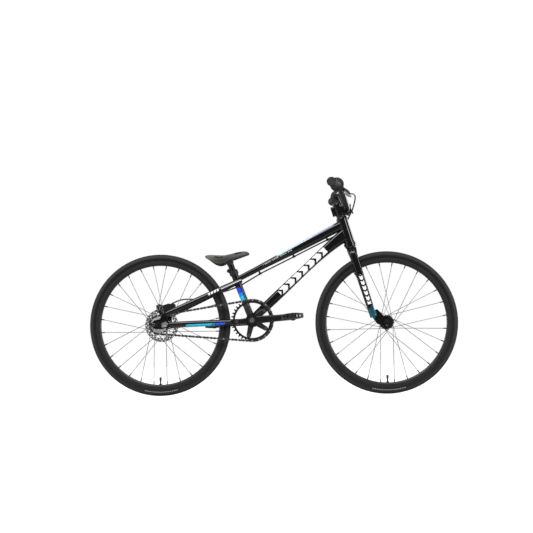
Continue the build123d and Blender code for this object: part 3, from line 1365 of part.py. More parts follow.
SADDLE_PROFILE = [
    (-242, 499),
    (-238, 505),
    (-222, 505.5),
    (-205, 500),
    (-190, 495.5),
    (-172, 497),
    (-140, 507),
    (-115, 515.5),
    (-90, 517.5),
    (-80, 513),
    (-79, 506),
    (-100, 501),
    (-130, 491),
    (-150, 486),
    (-168, 484.5),
    (-190, 486.0),
    (-212, 488),
    (-232, 492),
]
with BuildPart() as saddle:
    with BuildSketch(Plane(origin=(0, 0, 0), x_dir=(1, 0, 0), z_dir=(0, -1, 0))):
        with BuildLine():
            Spline(*SADDLE_PROFILE, periodic=True)
        make_face()
    extrude(amount=60, both=True)
    with BuildSketch(Plane.XY.offset(440)):
        with BuildLine():
            Spline((-79, 0), (-84, 13), (-118, 18), (-165, 34), (-205, 54), (-232, 52), (-243, 30), (-243, 0))
            Spline((-79, 0), (-84, -13), (-118, -18), (-165, -34), (-205, -54), (-232, -52), (-243, -30), (-243, 0))
        make_face()
    extrude(amount=120, mode=Mode.INTERSECT)
    saddle_cut = rod(post_top - post_axis * 4, post_top + post_axis * 12.4, 30)
    add(saddle_cut, mode=Mode.SUBTRACT)
    for scrap in saddle.solids().sort_by(SortBy.VOLUME)[:-1]:
        add(scrap, mode=Mode.SUBTRACT)
    add(rod(post_top + post_axis * 8, post_top + post_axis * 40, 4.3), mode=Mode.SUBTRACT)
save(saddle.part, "saddle")

with BuildPart() as saddle_bolt:
    add(rod(post_top + post_axis * 4.2, post_top + post_axis * 26, 4.0))
save(saddle_bolt.part, "saddle_bolt")
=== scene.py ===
"""The looks of a small-wheeled racing bicycle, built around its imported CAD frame.

Metres.  +X forward, +Y to the rider's left, +Z up; the origin is on the ground midway between the
axles.
"""

import json
from collections import namedtuple
from math import atan2, cos, degrees, pi, radians, sin, tau

import bmesh
import bpy
from mathutils import Matrix, Vector
from mathutils.bvhtree import BVHTree


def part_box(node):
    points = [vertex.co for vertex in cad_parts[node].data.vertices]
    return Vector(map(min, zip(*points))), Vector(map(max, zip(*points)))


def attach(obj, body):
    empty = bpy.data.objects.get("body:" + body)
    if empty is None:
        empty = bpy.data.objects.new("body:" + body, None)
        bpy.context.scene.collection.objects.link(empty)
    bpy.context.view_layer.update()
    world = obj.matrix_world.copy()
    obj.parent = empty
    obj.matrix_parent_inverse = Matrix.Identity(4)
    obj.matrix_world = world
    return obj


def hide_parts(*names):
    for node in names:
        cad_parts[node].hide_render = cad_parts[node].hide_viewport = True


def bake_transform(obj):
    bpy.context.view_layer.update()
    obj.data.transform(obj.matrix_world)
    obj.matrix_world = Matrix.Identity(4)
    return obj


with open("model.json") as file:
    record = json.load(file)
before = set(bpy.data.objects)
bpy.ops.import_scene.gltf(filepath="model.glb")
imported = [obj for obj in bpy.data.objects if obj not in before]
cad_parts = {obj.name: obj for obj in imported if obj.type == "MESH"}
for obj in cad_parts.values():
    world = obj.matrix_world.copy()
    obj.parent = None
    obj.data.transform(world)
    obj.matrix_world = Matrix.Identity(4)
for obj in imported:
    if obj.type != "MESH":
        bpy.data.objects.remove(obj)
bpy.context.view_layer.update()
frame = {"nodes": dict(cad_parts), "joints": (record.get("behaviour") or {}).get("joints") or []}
NODES = frame["nodes"]
MM = 0.001
SIDE = {"right": -1, "left": 1}
ORIGIN = (0, 0, 0)
X = (1, 0, 0)
Y = (0, 1, 0)
Z = (0, 0, 1)


def centre_of(node):
    low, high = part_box(node)
    return (low + high) / 2


def joint_place(name):
    """A point on a joint's axis, and the direction of that axis."""
    found = next(j for j in frame["joints"] if j["name"] == name)
    return Vector(found["pos_m"]), Vector(found["axis"])


FRONT_AXLE = joint_place("front_wheel_spin")[0]
REAR_AXLE = joint_place("rear_wheel_spin")[0]
CRANK = joint_place("crank_spin")[0]
CHAIN_LINE = centre_of("chain")
STEER_FOOT, STEER_UP = joint_place("steering_turn")
STEER_FORWARD = Vector((STEER_UP.z, 0, -STEER_UP.x))
TYRE_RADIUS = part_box("front_tyre")[1].z / 2
TYRE_HALF_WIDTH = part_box("front_tyre")[1].y
RIM_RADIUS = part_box("front_rim")[1].z - FRONT_AXLE.z


# ---------------------------------------------------------------- camera, floor and light
# the photograph's camera: metres, degrees and millimetres
CAMERA_PLACE = Vector((0.230, -5.049, 0.129))
CAMERA_YAW = 2.843
CAMERA_PITCH = 3.732
CAMERA_ROLL = -0.655
CAMERA_LENS = 95.44
SENSOR_WIDTH = 36.0
CLIP_END = 60.0

# the room that lights the object: directions by height, and brightness low and high
ROOM_HEIGHTS = (-0.2, 1.0)
ROOM_STRENGTHS = (0.06, 0.42)

# the floor glows less near the object, so that a faint shadow shows, and is white far away
FLOOR_SIZE = 40
FLOOR_GREY = (0.5, 0.5, 0.5, 1)
FLOOR_REACH = (1.0, 2.6)
FLOOR_GLOW = (0.80, 1.0)

BODY_MIDDLE = (0, 0, 0.35)
# name, place, target, size and watts of each lamp
LAMPS = [
    ("key", (-0.6, -3.0, 2.9), BODY_MIDDLE, (3.8, 1.8), 150),
    ("front_fill", (3.0, -1.8, 1.0), (0.1, 0, 0.3), (0.7, 1.8), 45),
    ("tail_fill", (-3.2, -1.6, 1.0), (-0.1, 0, 0.3), (0.6, 1.6), 26),
    ("back", (0.2, 3.2, 2.6), BODY_MIDDLE, (3.8, 1.6), 38),
    ("back_right", (2.8, 2.3, 0.9), BODY_MIDDLE, (1.2, 1.8), 55),
    ("back_left", (-2.8, 2.3, 0.9), BODY_MIDDLE, (1.2, 1.8), 45),
]


def make_camera():
    data = bpy.data.cameras.new("camera")
    data.lens = CAMERA_LENS
    data.sensor_width = SENSOR_WIDTH
    data.clip_end = CLIP_END
    camera = bpy.data.objects.new("camera", data)
    bpy.context.scene.collection.objects.link(camera)
    turn = Matrix.Rotation(radians(CAMERA_YAW), 4, "Z")
    tilt = Matrix.Rotation(radians(90 + CAMERA_PITCH), 4, "X")
    roll = Matrix.Rotation(radians(CAMERA_ROLL), 4, "Z")
    camera.matrix_world = Matrix.Translation(CAMERA_PLACE) @ turn @ tilt @ roll
    bpy.context.scene.camera = camera


def area_light(name, place, target, size, power):
    data = bpy.data.lights.new(name, "AREA")
    data.shape = "RECTANGLE"
    data.size, data.size_y = size
    data.energy = power
    lamp = bpy.data.objects.new(name, data)
    lamp.location = place
    lamp.rotation_euler = (Vector(target) - Vector(place)).to_track_quat("-Z", "Y").to_euler()
    lamp.visible_camera = False
    bpy.context.scene.collection.objects.link(lamp)


def camera_split(tree, seen, unseen):
    """One shader for what the camera sees, and another that lights the object and its gloss."""
    path = tree.nodes.new("ShaderNodeLightPath")
    mix = tree.nodes.new("ShaderNodeMixShader")
    tree.links.new(path.outputs["Is Camera Ray"], mix.inputs[0])
    tree.links.new(unseen, mix.inputs[1])
    tree.links.new(seen, mix.inputs[2])
    return mix.outputs[0]


def map_range(tree, value, source, target):
    """A value stretched from one pair of limits to another, as a node."""
    node = tree.nodes.new("ShaderNodeMapRange")
    node.inputs["From Min"].default_value, node.inputs["From Max"].default_value = source
    node.inputs["To Min"].default_value, node.inputs["To Max"].default_value = target
    tree.links.new(value, node.inputs["Value"])
    return node.outputs["Result"]


def make_world():
    """White behind the object, and a dim room with a brighter ceiling all round it."""
    world = bpy.data.worlds.new("studio")
    world.use_nodes = True
    tree = world.node_tree
    seen = tree.nodes["Background"]
    seen.inputs["Color"].default_value = (1, 1, 1, 1)
    place = tree.nodes.new("ShaderNodeTexCoord")
    parts = tree.nodes.new("ShaderNodeSeparateXYZ")
    tree.links.new(place.outputs["Generated"], parts.inputs[0])
    room = tree.nodes.new("ShaderNodeBackground")
    strength = map_range(tree, parts.outputs["Z"], ROOM_HEIGHTS, ROOM_STRENGTHS)
    tree.links.new(strength, room.inputs["Strength"])
    mixed = camera_split(tree, seen.outputs[0], room.outputs[0])
    tree.links.new(mixed, tree.nodes["World Output"].inputs["Surface"])
    bpy.context.scene.world = world


def make_floor():
    """Pale and even far away, with a faint shadow under the wheels."""
    bpy.ops.mesh.primitive_plane_add(size=FLOOR_SIZE, location=(0, 0, 0))
    floor = bpy.context.object
    floor.name = "floor"
    shade = Shade("pale_floor")
    shade.surface(color=FLOOR_GREY, rough=0.9, gloss=0.0)
    glow = shade.add("ShaderNodeEmission")
    away = shade.add("ShaderNodeVectorMath")
    away.operation = "LENGTH"
    shade.link(shade.place, away.inputs[0])
    strength = map_range(shade.tree, away.outputs["Value"], FLOOR_REACH, FLOOR_GLOW)
    shade.link(strength, glow.inputs["Strength"])
    lit = shade.add("ShaderNodeAddShader")
    shade.link(shade.principled.outputs[0], lit.inputs[0])
    shade.link(glow.outputs[0], lit.inputs[1])
    mixed = camera_split(shade.tree, lit.outputs[0], shade.principled.outputs[0])
    shade.link(mixed, shade.output.inputs["Surface"])
    floor.data.materials.append(shade.material)


def make_studio():
    bpy.context.scene.view_settings.view_transform = "Standard"
    make_world()
    make_floor()
    for lamp in LAMPS:
        area_light(*lamp)


# ---------------------------------------------------------------- shading
SHARP = 0.0003  # half the width of a printed edge, in metres


class Shade:
    """One procedural material, with short calls for its nodes."""

    def __init__(self, name):
        self.material = bpy.data.materials.new(name)
        self.material.use_nodes = True
        self.tree = self.material.node_tree
        self.principled = self.tree.nodes["Principled BSDF"]
        self.output = self.tree.nodes["Material Output"]
        self.place = self.add("ShaderNodeTexCoord").outputs["Object"]

    def add(self, kind):
        return self.tree.nodes.new(kind)

    def link(self, source, target):
        self.tree.links.new(source, target)

    def feed(self, socket, value):
        if hasattr(value, "is_output"):
            self.link(value, socket)
        else:
            socket.default_value = value

    def surface(
        self, color, rough, metal=0.0, coat=0.0, coat_rough=0.05, sheen=0.0, gloss=0.5
    ):
        inputs = self.principled.inputs
        self.feed(inputs["Base Color"], color)
        self.feed(inputs["Roughness"], rough)
        self.feed(inputs["Metallic"], metal)
        self.feed(inputs["Coat Weight"], coat)
        self.feed(inputs["Coat Roughness"], coat_rough)
        self.feed(inputs["Sheen Weight"], sheen)
        self.feed(inputs["Specular IOR Level"], gloss)

    def math(self, operation, a, b=0.0, c=0.0):
        node = self.add("ShaderNodeMath")
        node.operation = operation
        for socket, value in zip(node.inputs, (a, b, c)):
            self.feed(socket, value)
        return node.outputs[0]

    def along(self, origin, direction):
        """Distance in metres from origin along a direction."""
        shift = self.add("ShaderNodeVectorMath")
        shift.operation = "SUBTRACT"
        self.link(self.place, shift.inputs[0])
        shift.inputs[1].default_value = origin
        dot = self.add("ShaderNodeVectorMath")
        dot.operation = "DOT_PRODUCT"
        self.link(shift.outputs[0], dot.inputs[0])
        dot.inputs[1].default_value = Vector(direction).normalized()
        return dot.outputs["Value"]

    def radius(self, centre):
        """Distance in metres from a line along Y through a centre."""
        x = self.along(centre, X)
        z = self.along(centre, Z)
        squares = [self.math("MULTIPLY", part, part) for part in (x, z)]
        return self.math("SQRT", self.math("ADD", *squares))

    def angle(self, centre):
        """The angle round a line along Y through a centre, in radians."""
        x = self.along(centre, X)
        z = self.along(centre, Z)
        return self.math("ARCTAN2", z, x)

    def step(self, value, edge, soft=SHARP):
        """0 below an edge and 1 above it."""
        node = self.add("ShaderNodeMapRange")
        node.clamp = True
        self.feed(node.inputs["Value"], value)
        node.inputs["From Min"].default_value = edge - soft
        node.inputs["From Max"].default_value = edge + soft
        return node.outputs["Result"]

    def below(self, value, edge, soft=SHARP):
        """1 below an edge and 0 above it."""
        return self.math("SUBTRACT", 1.0, self.step(value, edge, soft))

    def band(self, value, low, high, soft=SHARP):
        """1 between two edges and 0 outside them."""
        return self.math("MULTIPLY", self.step(value, low, soft), self.below(value, high, soft))

    def both(self, *masks):
        """1 where every mask is on."""
        total = masks[0]
        for mask in masks[1:]:
            total = self.math("MULTIPLY", total, mask)
        return total

    def slant(self, value, other, slope):
        """A value tilted by a share of another one."""
        return self.math("MULTIPLY_ADD", other, slope, value)

    def repeat(self, value, period, share, soft=SHARP):
        """A mask that is on for a share of every period."""
        part = self.math("FLOORED_MODULO", value, period)
        return self.band(part, 0.5 * soft, period * share, soft)

    def mix(self, mask, a, b):
        """The first colour where a mask is 0 and the second where it is 1."""
        node = self.add("ShaderNodeMix")
        node.data_type = "RGBA"
        self.feed(node.inputs[0], mask)
        self.feed(node.inputs[6], a)
        self.feed(node.inputs[7], b)
        return node.outputs[2]

    def noise(self, scale, detail):
        node = self.add("ShaderNodeTexNoise")
        node.inputs["Scale"].default_value = scale
        node.inputs["Detail"].default_value = detail
        self.link(self.place, node.inputs["Vector"])
        return node.outputs["Fac"]

    def cells(self, scale):
        node = self.add("ShaderNodeTexVoronoi")
        node.inputs["Scale"].default_value = scale
        self.link(self.place, node.inputs["Vector"])
        return node.outputs["Distance"]

    def span(self, value, low, high):
        """A 0 to 1 value stretched to low to high."""
        return self.math("MULTIPLY_ADD", value, high - low, low)

    def bump(self, height, distance, strength):
        node = self.add("ShaderNodeBump")
        node.inputs["Distance"].default_value = distance
        node.inputs["Strength"].default_value = strength
        self.link(height, node.inputs["Height"])
        self.link(node.outputs[0], self.principled.inputs["Normal"])


# ---------------------------------------------------------------- colours and plain materials
BLACK = (0.003, 0.003, 0.0035, 1)
WHITE = (0.86, 0.86, 0.86, 1)
PALE_GREY = (0.50, 0.50, 0.50, 1)
CYAN = (0.010, 0.56, 0.86, 1)
BLUE = (0.012, 0.26, 0.80, 1)
ROYAL = (0.006, 0.065, 0.86, 1)
STAY_CYAN = (0.02, 0.55, 0.72, 1)
STAY_BLUE = (0.006, 0.11, 0.86, 1)
GLOW_CYAN = (0.52, 0.86, 0.88, 1)
GLOW_LAVENDER = (0.50, 0.52, 0.80, 1)
DEEP_TEAL = (0.004, 0.045, 0.065, 1)
TEAL = (0.008, 0.115, 0.165, 1)
ANODISED_BLACK = (0.006, 0.006, 0.0065, 1)
PLATED_BLACK = (0.02, 0.02, 0.02, 1)
BOLT_GREY = (0.16, 0.16, 0.165, 1)
LEVER_SILVER = (0.42, 0.42, 0.43, 1)
STEEL = (0.52, 0.52, 0.54, 1)
NICKEL = (0.86, 0.86, 0.87, 1)
PAD_BROWN = (0.06, 0.05, 0.045, 1)
HOSE_BLACK = (0.012, 0.012, 0.012, 1)
PLUG_BLACK = (0.015, 0.015, 0.015, 1)
RUBBER_BLACK = (0.02, 0.02, 0.021, 1)
SADDLE_GREY = (0.04, 0.04, 0.042, 1)


def scaled(color, factor):
    return tuple(factor * part for part in color[:3]) + (1,)


def lacquer(name, decals=()):
    """Black paint under gloss lacquer, with decals.

    Each decal is a colour, or a function that gives it, and a function that gives its mask.
    """
    shade = Shade(name)
    color = BLACK
    for decal_color, decal_mask in decals:
        tint = decal_color(shade) if callable(decal_color) else decal_color
        color = shade.mix(decal_mask(shade), color, tint)
    haze = shade.span(shade.noise(scale=60, detail=4), 0.09, 0.17)
    shade.surface(color, rough=0.5, coat=1.0, coat_rough=haze, gloss=0.0)
    return shade.material


def satin_metal(name, color=ANODISED_BLACK, rough=0.34, metal=0.0):
    """Anodised or plated metal with faint patches of wear."""
    shade = Shade(name)
    wear = shade.span(shade.noise(scale=45, detail=5), rough - 0.07, rough + 0.09)
    shade.surface(color, rough=wear, metal=metal, gloss=0.42)
    return shade.material


def bare_metal(name, color, rough):
    """Uncoated metal with a fine grain."""
    shade = Shade(name)
    grain = shade.noise(scale=500, detail=3)
    tint = shade.mix(shade.noise(scale=80, detail=4), color, scaled(color, 0.8))
    shade.surface(tint, rough=shade.span(grain, rough - 0.06, rough + 0.1), metal=1.0)
    shade.bump(grain, distance=0.00002, strength=0.5)
    return shade.material


def rubber(name, color, rough, depth=0.00005):
    """Rubber or soft plastic with a pebbled skin of a given depth."""
    shade = Shade(name)
    tint = shade.mix(shade.noise(scale=35, detail=5), color, scaled(color, 1.35))
    patchy = shade.span(shade.noise(scale=50, detail=4), rough - 0.05, rough + 0.08)
    shade.surface(tint, rough=patchy, sheen=0.05, gloss=0.35)
    shade.bump(shade.cells(scale=900), distance=depth, strength=0.8)
    return shade.material


def paint(material, *nodes):
    """Gives CAD nodes one material in place of their own."""
    for node in nodes:
        mesh = NODES[node].data
        mesh.materials.clear()
        mesh.materials.append(material)


# ---------------------------------------------------------------- graphics on the frame
Tube = namedtuple("Tube", "start along across")
Marks = namedtuple("Marks", "tube run height slope folded repeats flanks_only")


def tube_line(start, toward):
    """A tube in the middle plane, from a start in millimetres towards a direction."""
    along = Vector(toward).normalized()
    return Tube(Vector(start) * MM, along, Vector((-along.z, 0, along.x)))


DOWN_TUBE = tube_line((-32.9, 0, 307.2), (217.4, 0, 200.7))
TOP_TUBE = tube_line((-81.4, 0, 436.2), (216.3, 0, 108.9))
SEAT_STAY = tube_line((-177.3, 0, 381.2), (1, 0, 0.4577))
# the legs run down from the foot of the head tube, and across them is forward
FORK_LEGS = Tube(STEER_FOOT, -STEER_UP, STEER_FORWARD)
SEAT_MIDDLE = Vector((-112.0, 0, 365.0)) * MM
SEAT_FORWARD = Vector((0.9354, 0, 0.3536))
SEAT_ALONG = Vector((-0.3536, 0, 0.9354))

# generic marks in place of lettering: where they run along a tube and how high across it (m), how
# far they lean, whether they fold at mid height into chevrons, and (period, share) of each repeat
DOWN_TUBE_CHEVRONS = Marks(
    DOWN_TUBE, run=(0.080, 0.306), height=(-0.0110, 0.0125), slope=0.9, folded=True,
    repeats=[(0.0325, 0.72)], flanks_only=True,
)
TOP_TUBE_TICKS = Marks(
    TOP_TUBE, run=(0.055, 0.172), height=(0.0004, 0.0040), slope=-0.35, folded=False,
    repeats=[(0.0062, 0.66), (0.031, 0.84)], flanks_only=True,
)
SEAT_STAY_TICKS = Marks(
    SEAT_STAY, run=(-0.058, -0.014), height=(-0.0025, 0.005), slope=-0.5, folded=False,
    repeats=[(0.011, 0.66)], flanks_only=False,
)
SEAT_STAY_LINE = Marks(
    SEAT_STAY, run=(-0.006, 0.075), height=(-0.0016, 0.0006), slope=0, folded=False,
    repeats=[], flanks_only=False,
)
FORK_CHEVRONS = Marks(
    FORK_LEGS, run=(0.068, 0.178), height=(-0.0062, 0.0055), slope=0.8, folded=True,
    repeats=[(0.0190, 0.68)], flanks_only=False,
)
FLANK_EDGE = 0.004  # how far from the middle plane the flank of a tube begins

# the pale fade on the top tube (m)
GLOW_RUN = (0.115, 0.345)
GLOW_END_SOFT = 0.006
GLOW_EDGE = 0.0044
GLOW_LEAN = -0.020
GLOW_MIDDLE = 0.20
GLOW_FADE = 0.09

# the teal band at the fork's foot (m)
TEAL_RUN = (0.186, 0.232)
TEAL_ACROSS = (-0.016, 0.0125)
TEAL_LEAN = 0.9
TEAL_END_SOFT = 0.0005
TEAL_MIDDLE = 0.212
TEAL_FADE = 0.024

# bands on the seat tube by height, and on the chain stays by X (mm)
SEAT_TUBE_BANDS = [(ROYAL, 365, 384), (BLUE, 354, 365), (CYAN, 334, 354)]
SEAT_BAND_LEAN = -0.35
SEAT_BAND_FRONT = 0.0040
CHAINSTAY_BANDS = [(CYAN, -297, -208), (STAY_CYAN, -204, -200), (STAY_BLUE, -197, -165)]
CHAINSTAY_LEAN = -0.9
CHAINSTAY_LEVEL = (0, 0, 0.26)
CHAINSTAY_RISE = -0.045
CHAINSTAY_HEIGHT = (-0.004, 0.0062)


def on_tube(shade, tube):
    """Distances along a tube and across it."""
    return shade.along(tube.start, tube.along), shade.along(tube.start, tube.across)


def marks_mask(marks):
    """A row of marks along a tube, or a plain stripe when nothing repeats."""

    def mask(shade):
        s, t = on_tube(shade, marks.tube)
        lean = shade.math("ABSOLUTE", t) if marks.folded else t
        parts = [shade.band(s, *marks.run), shade.band(t, *marks.height)]
        for period, share in marks.repeats:
            parts.append(shade.repeat(shade.slant(s, lean, marks.slope), period, share))
        if marks.flanks_only:
            sideways = shade.math("ABSOLUTE", shade.along(ORIGIN, Y))
            parts.append(shade.step(sideways, FLANK_EDGE))
        return shade.both(*parts)

    return mask


def top_tube_glow_color(shade):
    """Cyan at the saddle end, lavender towards the head tube."""
    s = shade.along(TOP_TUBE.start, TOP_TUBE.along)
    return shade.mix(shade.step(s, GLOW_MIDDLE, GLOW_FADE), GLOW_CYAN, GLOW_LAVENDER)


def top_tube_glow(shade):
    """The upper side of the tube, down to a slightly leaning edge."""
    s, t = on_tube(shade, TOP_TUBE)
    upper = shade.step(shade.slant(t, s, GLOW_LEAN), GLOW_EDGE)
    return shade.both(upper, shade.band(s, *GLOW_RUN, GLOW_END_SOFT))


def fork_teal_color(shade):
    """Darker at the top, lighter towards the axle."""
    s = shade.along(FORK_LEGS.start, FORK_LEGS.along)
    return shade.mix(shade.step(s, TEAL_MIDDLE, TEAL_FADE), DEEP_TEAL, TEAL)


def fork_teal(shade):
    s, t = on_tube(shade, FORK_LEGS)
    slanted = shade.slant(s, t, TEAL_LEAN)
    return shade.both(shade.band(slanted, *TEAL_RUN, TEAL_END_SOFT), shade.band(t, *TEAL_ACROSS))


def seat_tube_band(low, high):
    """A band on the rear of the seat tube, between two heights."""

    def mask(shade):
        z = shade.along(ORIGIN, Z)
        forward = shade.along(SEAT_MIDDLE, SEAT_FORWARD)
        slanted = shade.slant(z, forward, SEAT_BAND_LEAN)
        rear = shade.below(forward, SEAT_BAND_FRONT)
        return shade.both(shade.band(slanted, low * MM, high * MM), rear)

    return mask


def chainstay_band(low, high):
    """A slanted band low on the chain stays, between two stations along them."""

    def mask(shade):
        x = shade.along(ORIGIN, X)
        z = shade.along(CHAINSTAY_LEVEL, Z)
        slanted = shade.slant(x, z, CHAINSTAY_LEAN)
        level = shade.slant(z, x, CHAINSTAY_RISE)
        return shade.both(
            shade.band(slanted, low * MM, high * MM), shade.band(level, *CHAINSTAY_HEIGHT)
        )

    return mask


def paint_frame():
    plain = lacquer("gloss_black_paint")
    paint(plain, "head_tube", "bottom_bracket_shell", "rear_dropouts", "fork_crown_and_steerer")
    decals = {
        "down_tube": ("down_tube_paint", [(WHITE, marks_mask(DOWN_TUBE_CHEVRONS))]),
        "top_tube": (
            "top_tube_paint",
            [(PALE_GREY, marks_mask(TOP_TUBE_TICKS)), (top_tube_glow_color, top_tube_glow)],
        ),
        "seat_tube": (
            "seat_tube_paint",
            [(color, seat_tube_band(low, high)) for color, low, high in SEAT_TUBE_BANDS],
        ),
        "chainstays": (
            "chainstay_paint",
            [(color, chainstay_band(low, high)) for color, low, high in CHAINSTAY_BANDS],
        ),
        "seatstays": (
            "seatstay_paint",
            [(WHITE, marks_mask(SEAT_STAY_TICKS)), (WHITE, marks_mask(SEAT_STAY_LINE))],
        ),
        "fork_legs": (
            "fork_leg_paint",
            [(fork_teal_color, fork_teal), (WHITE, marks_mask(FORK_CHEVRONS))],
        ),
    }
    for node, (name, parts) in decals.items():
        paint(lacquer(name, parts), node)


# ---------------------------------------------------------------- metal and rubber parts
SPOKE_WIRE = (0.20, 0.20, 0.21, 1)
NIPPLE_BLACK = (0.006, 0.006, 0.006, 1)
SPINDLE_BOLT = (0.30, 0.30, 0.31, 1)
SPINDLE_CAP = (0.008, 0.008, 0.008, 1)
CHAIN_DARKS = ((0.10, 0.096, 0.092, 1), (0.05, 0.047, 0.045, 1))
CHAIN_PALES = ((0.50, 0.485, 0.47, 1), (0.28, 0.27, 0.26, 1))
ROTOR_GREY = (0.46, 0.46, 0.47, 1)
ROTOR_BOLTS = (0.03, 0.03, 0.03, 1)
NIPPLE_REACH = 0.0308  # how far inside the rim's edge the black nipples end
SPINDLE_BOLT_RADIUS = 0.0078
CHAIN_INNER_HALF = 0.0025  # half the width of the chain between its outer plates
ROTOR_BOLTS_RADIUS = 0.0272
GRINDING_RINGS = 9000.0  # radians of ripple per metre


def paint_metal():
    paint(
        satin_metal("black_anodised"),
        "front_hub", "rear_hub", "bottom_bracket_cups", "seat_clamp", "chain_tensioners",
        "brake_caliper", "headset_cover_and_spacers", "brake_lever_body",
    )
    paint(lacquer("gloss_black_bar"), "handlebar", "stem_body", "stem_faceplate", "seat_post")
    paint(satin_metal("silver_lever", LEVER_SILVER, rough=0.3, metal=0.9), "brake_lever_blade")
    paint(satin_metal("black_crank", rough=0.2), "crank_arm_right", "crank_arm_left")
    paint(satin_metal("black_chainring", rough=0.3), "chainring")
    paint(satin_metal("front_rim_black", rough=0.42), "front_rim")
    paint(satin_metal("rear_rim_black", rough=0.42), "rear_rim")
    paint(satin_metal("grey_bolts", BOLT_GREY, rough=0.25, metal=0.9), "chainring_bolts")
    paint(
        satin_metal("black_steel", PLATED_BLACK, rough=0.3, metal=0.6),
        "front_axle", "rear_axle", "front_axle_nuts", "frame_bolts_and_axle_nuts",
        "stem_bolts_and_cap", "saddle_bolt",
    )
    paint(
        bare_metal("bare_steel", STEEL, 0.28),
        "headset_bearings", "front_hub_bearings", "rear_hub_bearings", "pedal_spindles",
    )
    paint(bare_metal("nickel_plate", NICKEL, 0.34), "rear_cog", "cog_driver")
    paint(spindle_steel(), "crank_spindle")
    paint(chain_steel(), "chain")
    paint(rotor_steel(), "brake_rotor_and_bolts")
    paint(spoke_steel("front_spokes", FRONT_AXLE), "front_spokes_and_nipples")
    paint(spoke_steel("rear_spokes", REAR_AXLE), "rear_spokes_and_nipples")
    for name in SIDE:
        paint(satin_metal(f"pedal_{name}_alloy", rough=0.4), f"pedal_{name}")
    paint(rubber("brake_pad_compound", PAD_BROWN, 0.85), "brake_pad_inner", "brake_pad_outer")


def spoke_steel(name, axle):
    """Drawn wire, with black nipples near the rim."""
    shade = Shade(name)
    at_rim = shade.step(shade.radius(axle), RIM_RADIUS - NIPPLE_REACH)
    shade.surface(
        shade.mix(at_rim, SPOKE_WIRE, NIPPLE_BLACK),
        rough=shade.span(shade.noise(scale=300, detail=2), 0.2, 0.34),
        metal=shade.math("SUBTRACT", 1.0, at_rim),
    )
    return shade.material


def spindle_steel():
    """Black end caps with a bright bolt in the middle of each."""
    shade = Shade("spindle_steel")
    in_cap = shade.step(shade.radius(CRANK), SPINDLE_BOLT_RADIUS)
    shade.surface(
        shade.mix(in_cap, SPINDLE_BOLT, SPINDLE_CAP),
        rough=0.3,
        metal=shade.math("SUBTRACT", 1.0, in_cap),
    )
    return shade.material


def chain_steel():
    """Dark oiled outer plates, with paler inner plates and rollers between them."""
    shade = Shade("chain_steel")
    film = shade.noise(scale=140, detail=5)
    sideways = shade.math("ABSOLUTE", shade.along(CHAIN_LINE, Y))
    outer = shade.step(sideways, CHAIN_INNER_HALF, 0.00005)
    dark = shade.mix(film, *CHAIN_DARKS)
    pale = shade.mix(film, *CHAIN_PALES)
    shade.surface(
        shade.mix(outer, pale, dark),
        rough=shade.span(film, 0.26, 0.46),
        metal=0.85,
    )
    shade.bump(shade.noise(scale=900, detail=2), distance=0.00003, strength=0.5)
    return shade.material


def rotor_steel():
    """A disc ground in circles, dark in the middle where its bolts are."""
    shade = Shade("rotor_steel")
    r = shade.radius(REAR_AXLE)
    rings = shade.math("SINE", shade.math("MULTIPLY", r, GRINDING_RINGS))
    middle = shade.below(r, ROTOR_BOLTS_RADIUS)
    shade.surface(
        shade.mix(middle, ROTOR_GREY, ROTOR_BOLTS),
        rough=shade.span(rings, 0.26, 0.34),
        metal=1.0,
    )
    shade.bump(rings, distance=0.00001, strength=0.4)
    return shade.material


def paint_soft():
    """Hose, plugs and tubes, and plain colours for the nodes that a fuller piece stands in for."""
    hose = rubber("hose_jacket", HOSE_BLACK, 0.35, depth=0.00001)
    paint(hose, "brake_hose", "hose_guides", "brake_hose_loop")
    paint(rubber("grip_rubber_plain", RUBBER_BLACK, 0.6), "grips")
    paint(rubber("plug_plastic", PLUG_BLACK, 0.4), "bar_end_plugs")
    for end in ("front", "rear"):
        paint(rubber(f"{end}_tyre_plain", RUBBER_BLACK, 0.7), f"{end}_tyre")
        paint(rubber(f"{end}_tube_rubber", HOSE_BLACK, 0.5), f"{end}_inner_tube")
    paint(rubber("saddle_plain", SADDLE_GREY, 0.5), "saddle")


# ---------------------------------------------------------------- mesh helpers
def new_piece(name, mesh, body, material):
    """A smooth-shaded piece that rides on a body."""
    piece = bpy.data.objects.new(name, mesh)
    bpy.context.scene.collection.objects.link(piece)
    mesh.materials.append(material)
    mesh.polygons.foreach_set("use_smooth", [True] * len(mesh.polygons))
    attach(piece, body)
    return piece


def grid_mesh(name, rows, close_rows=False, close_columns=False, cap=False):
    """A skin over a grid of points, closed round either way or capped at its two end rows."""
    mesh = bpy.data.meshes.new(name)
    bm = bmesh.new()
    verts = [[bm.verts.new(p) for p in row] for row in rows]
    count = len(verts)
    width = len(verts[0])
    for i in range(count if close_rows else count - 1):
        for j in range(width if close_columns else width - 1):
            a, b = verts[i], verts[(i + 1) % count]
            bm.faces.new((a[j], b[j], b[(j + 1) % width], a[(j + 1) % width]))
    if cap:
        bm.faces.new(verts[0])
        bm.faces.new(list(reversed(verts[-1])))
    bmesh.ops.recalc_face_normals(bm, faces=bm.faces)
    bm.to_mesh(mesh)
    bm.free()
    return mesh


def turned_rows(origin, axis, profile, segments):
    """Points of a profile of (distance along the axis, radius), turned about the axis."""
    side = axis.orthogonal().normalized()
    other = axis.cross(side)
    rows = []
    for k in range(segments):
        turn = tau * k / segments
        outward = side * cos(turn) + other * sin(turn)
        rows.append([origin + axis * along + outward * radius for along, radius in profile])
    return rows


def middle_of(points):
    return sum(points, Vector()) / len(points)


# ---------------------------------------------------------------- tyres
# the skin: sweep of its section each way from the crown, points across it, and steps round it
TYRE_SWEEP = radians(128)
TYRE_POINTS = 64
TYRE_STEPS = 720
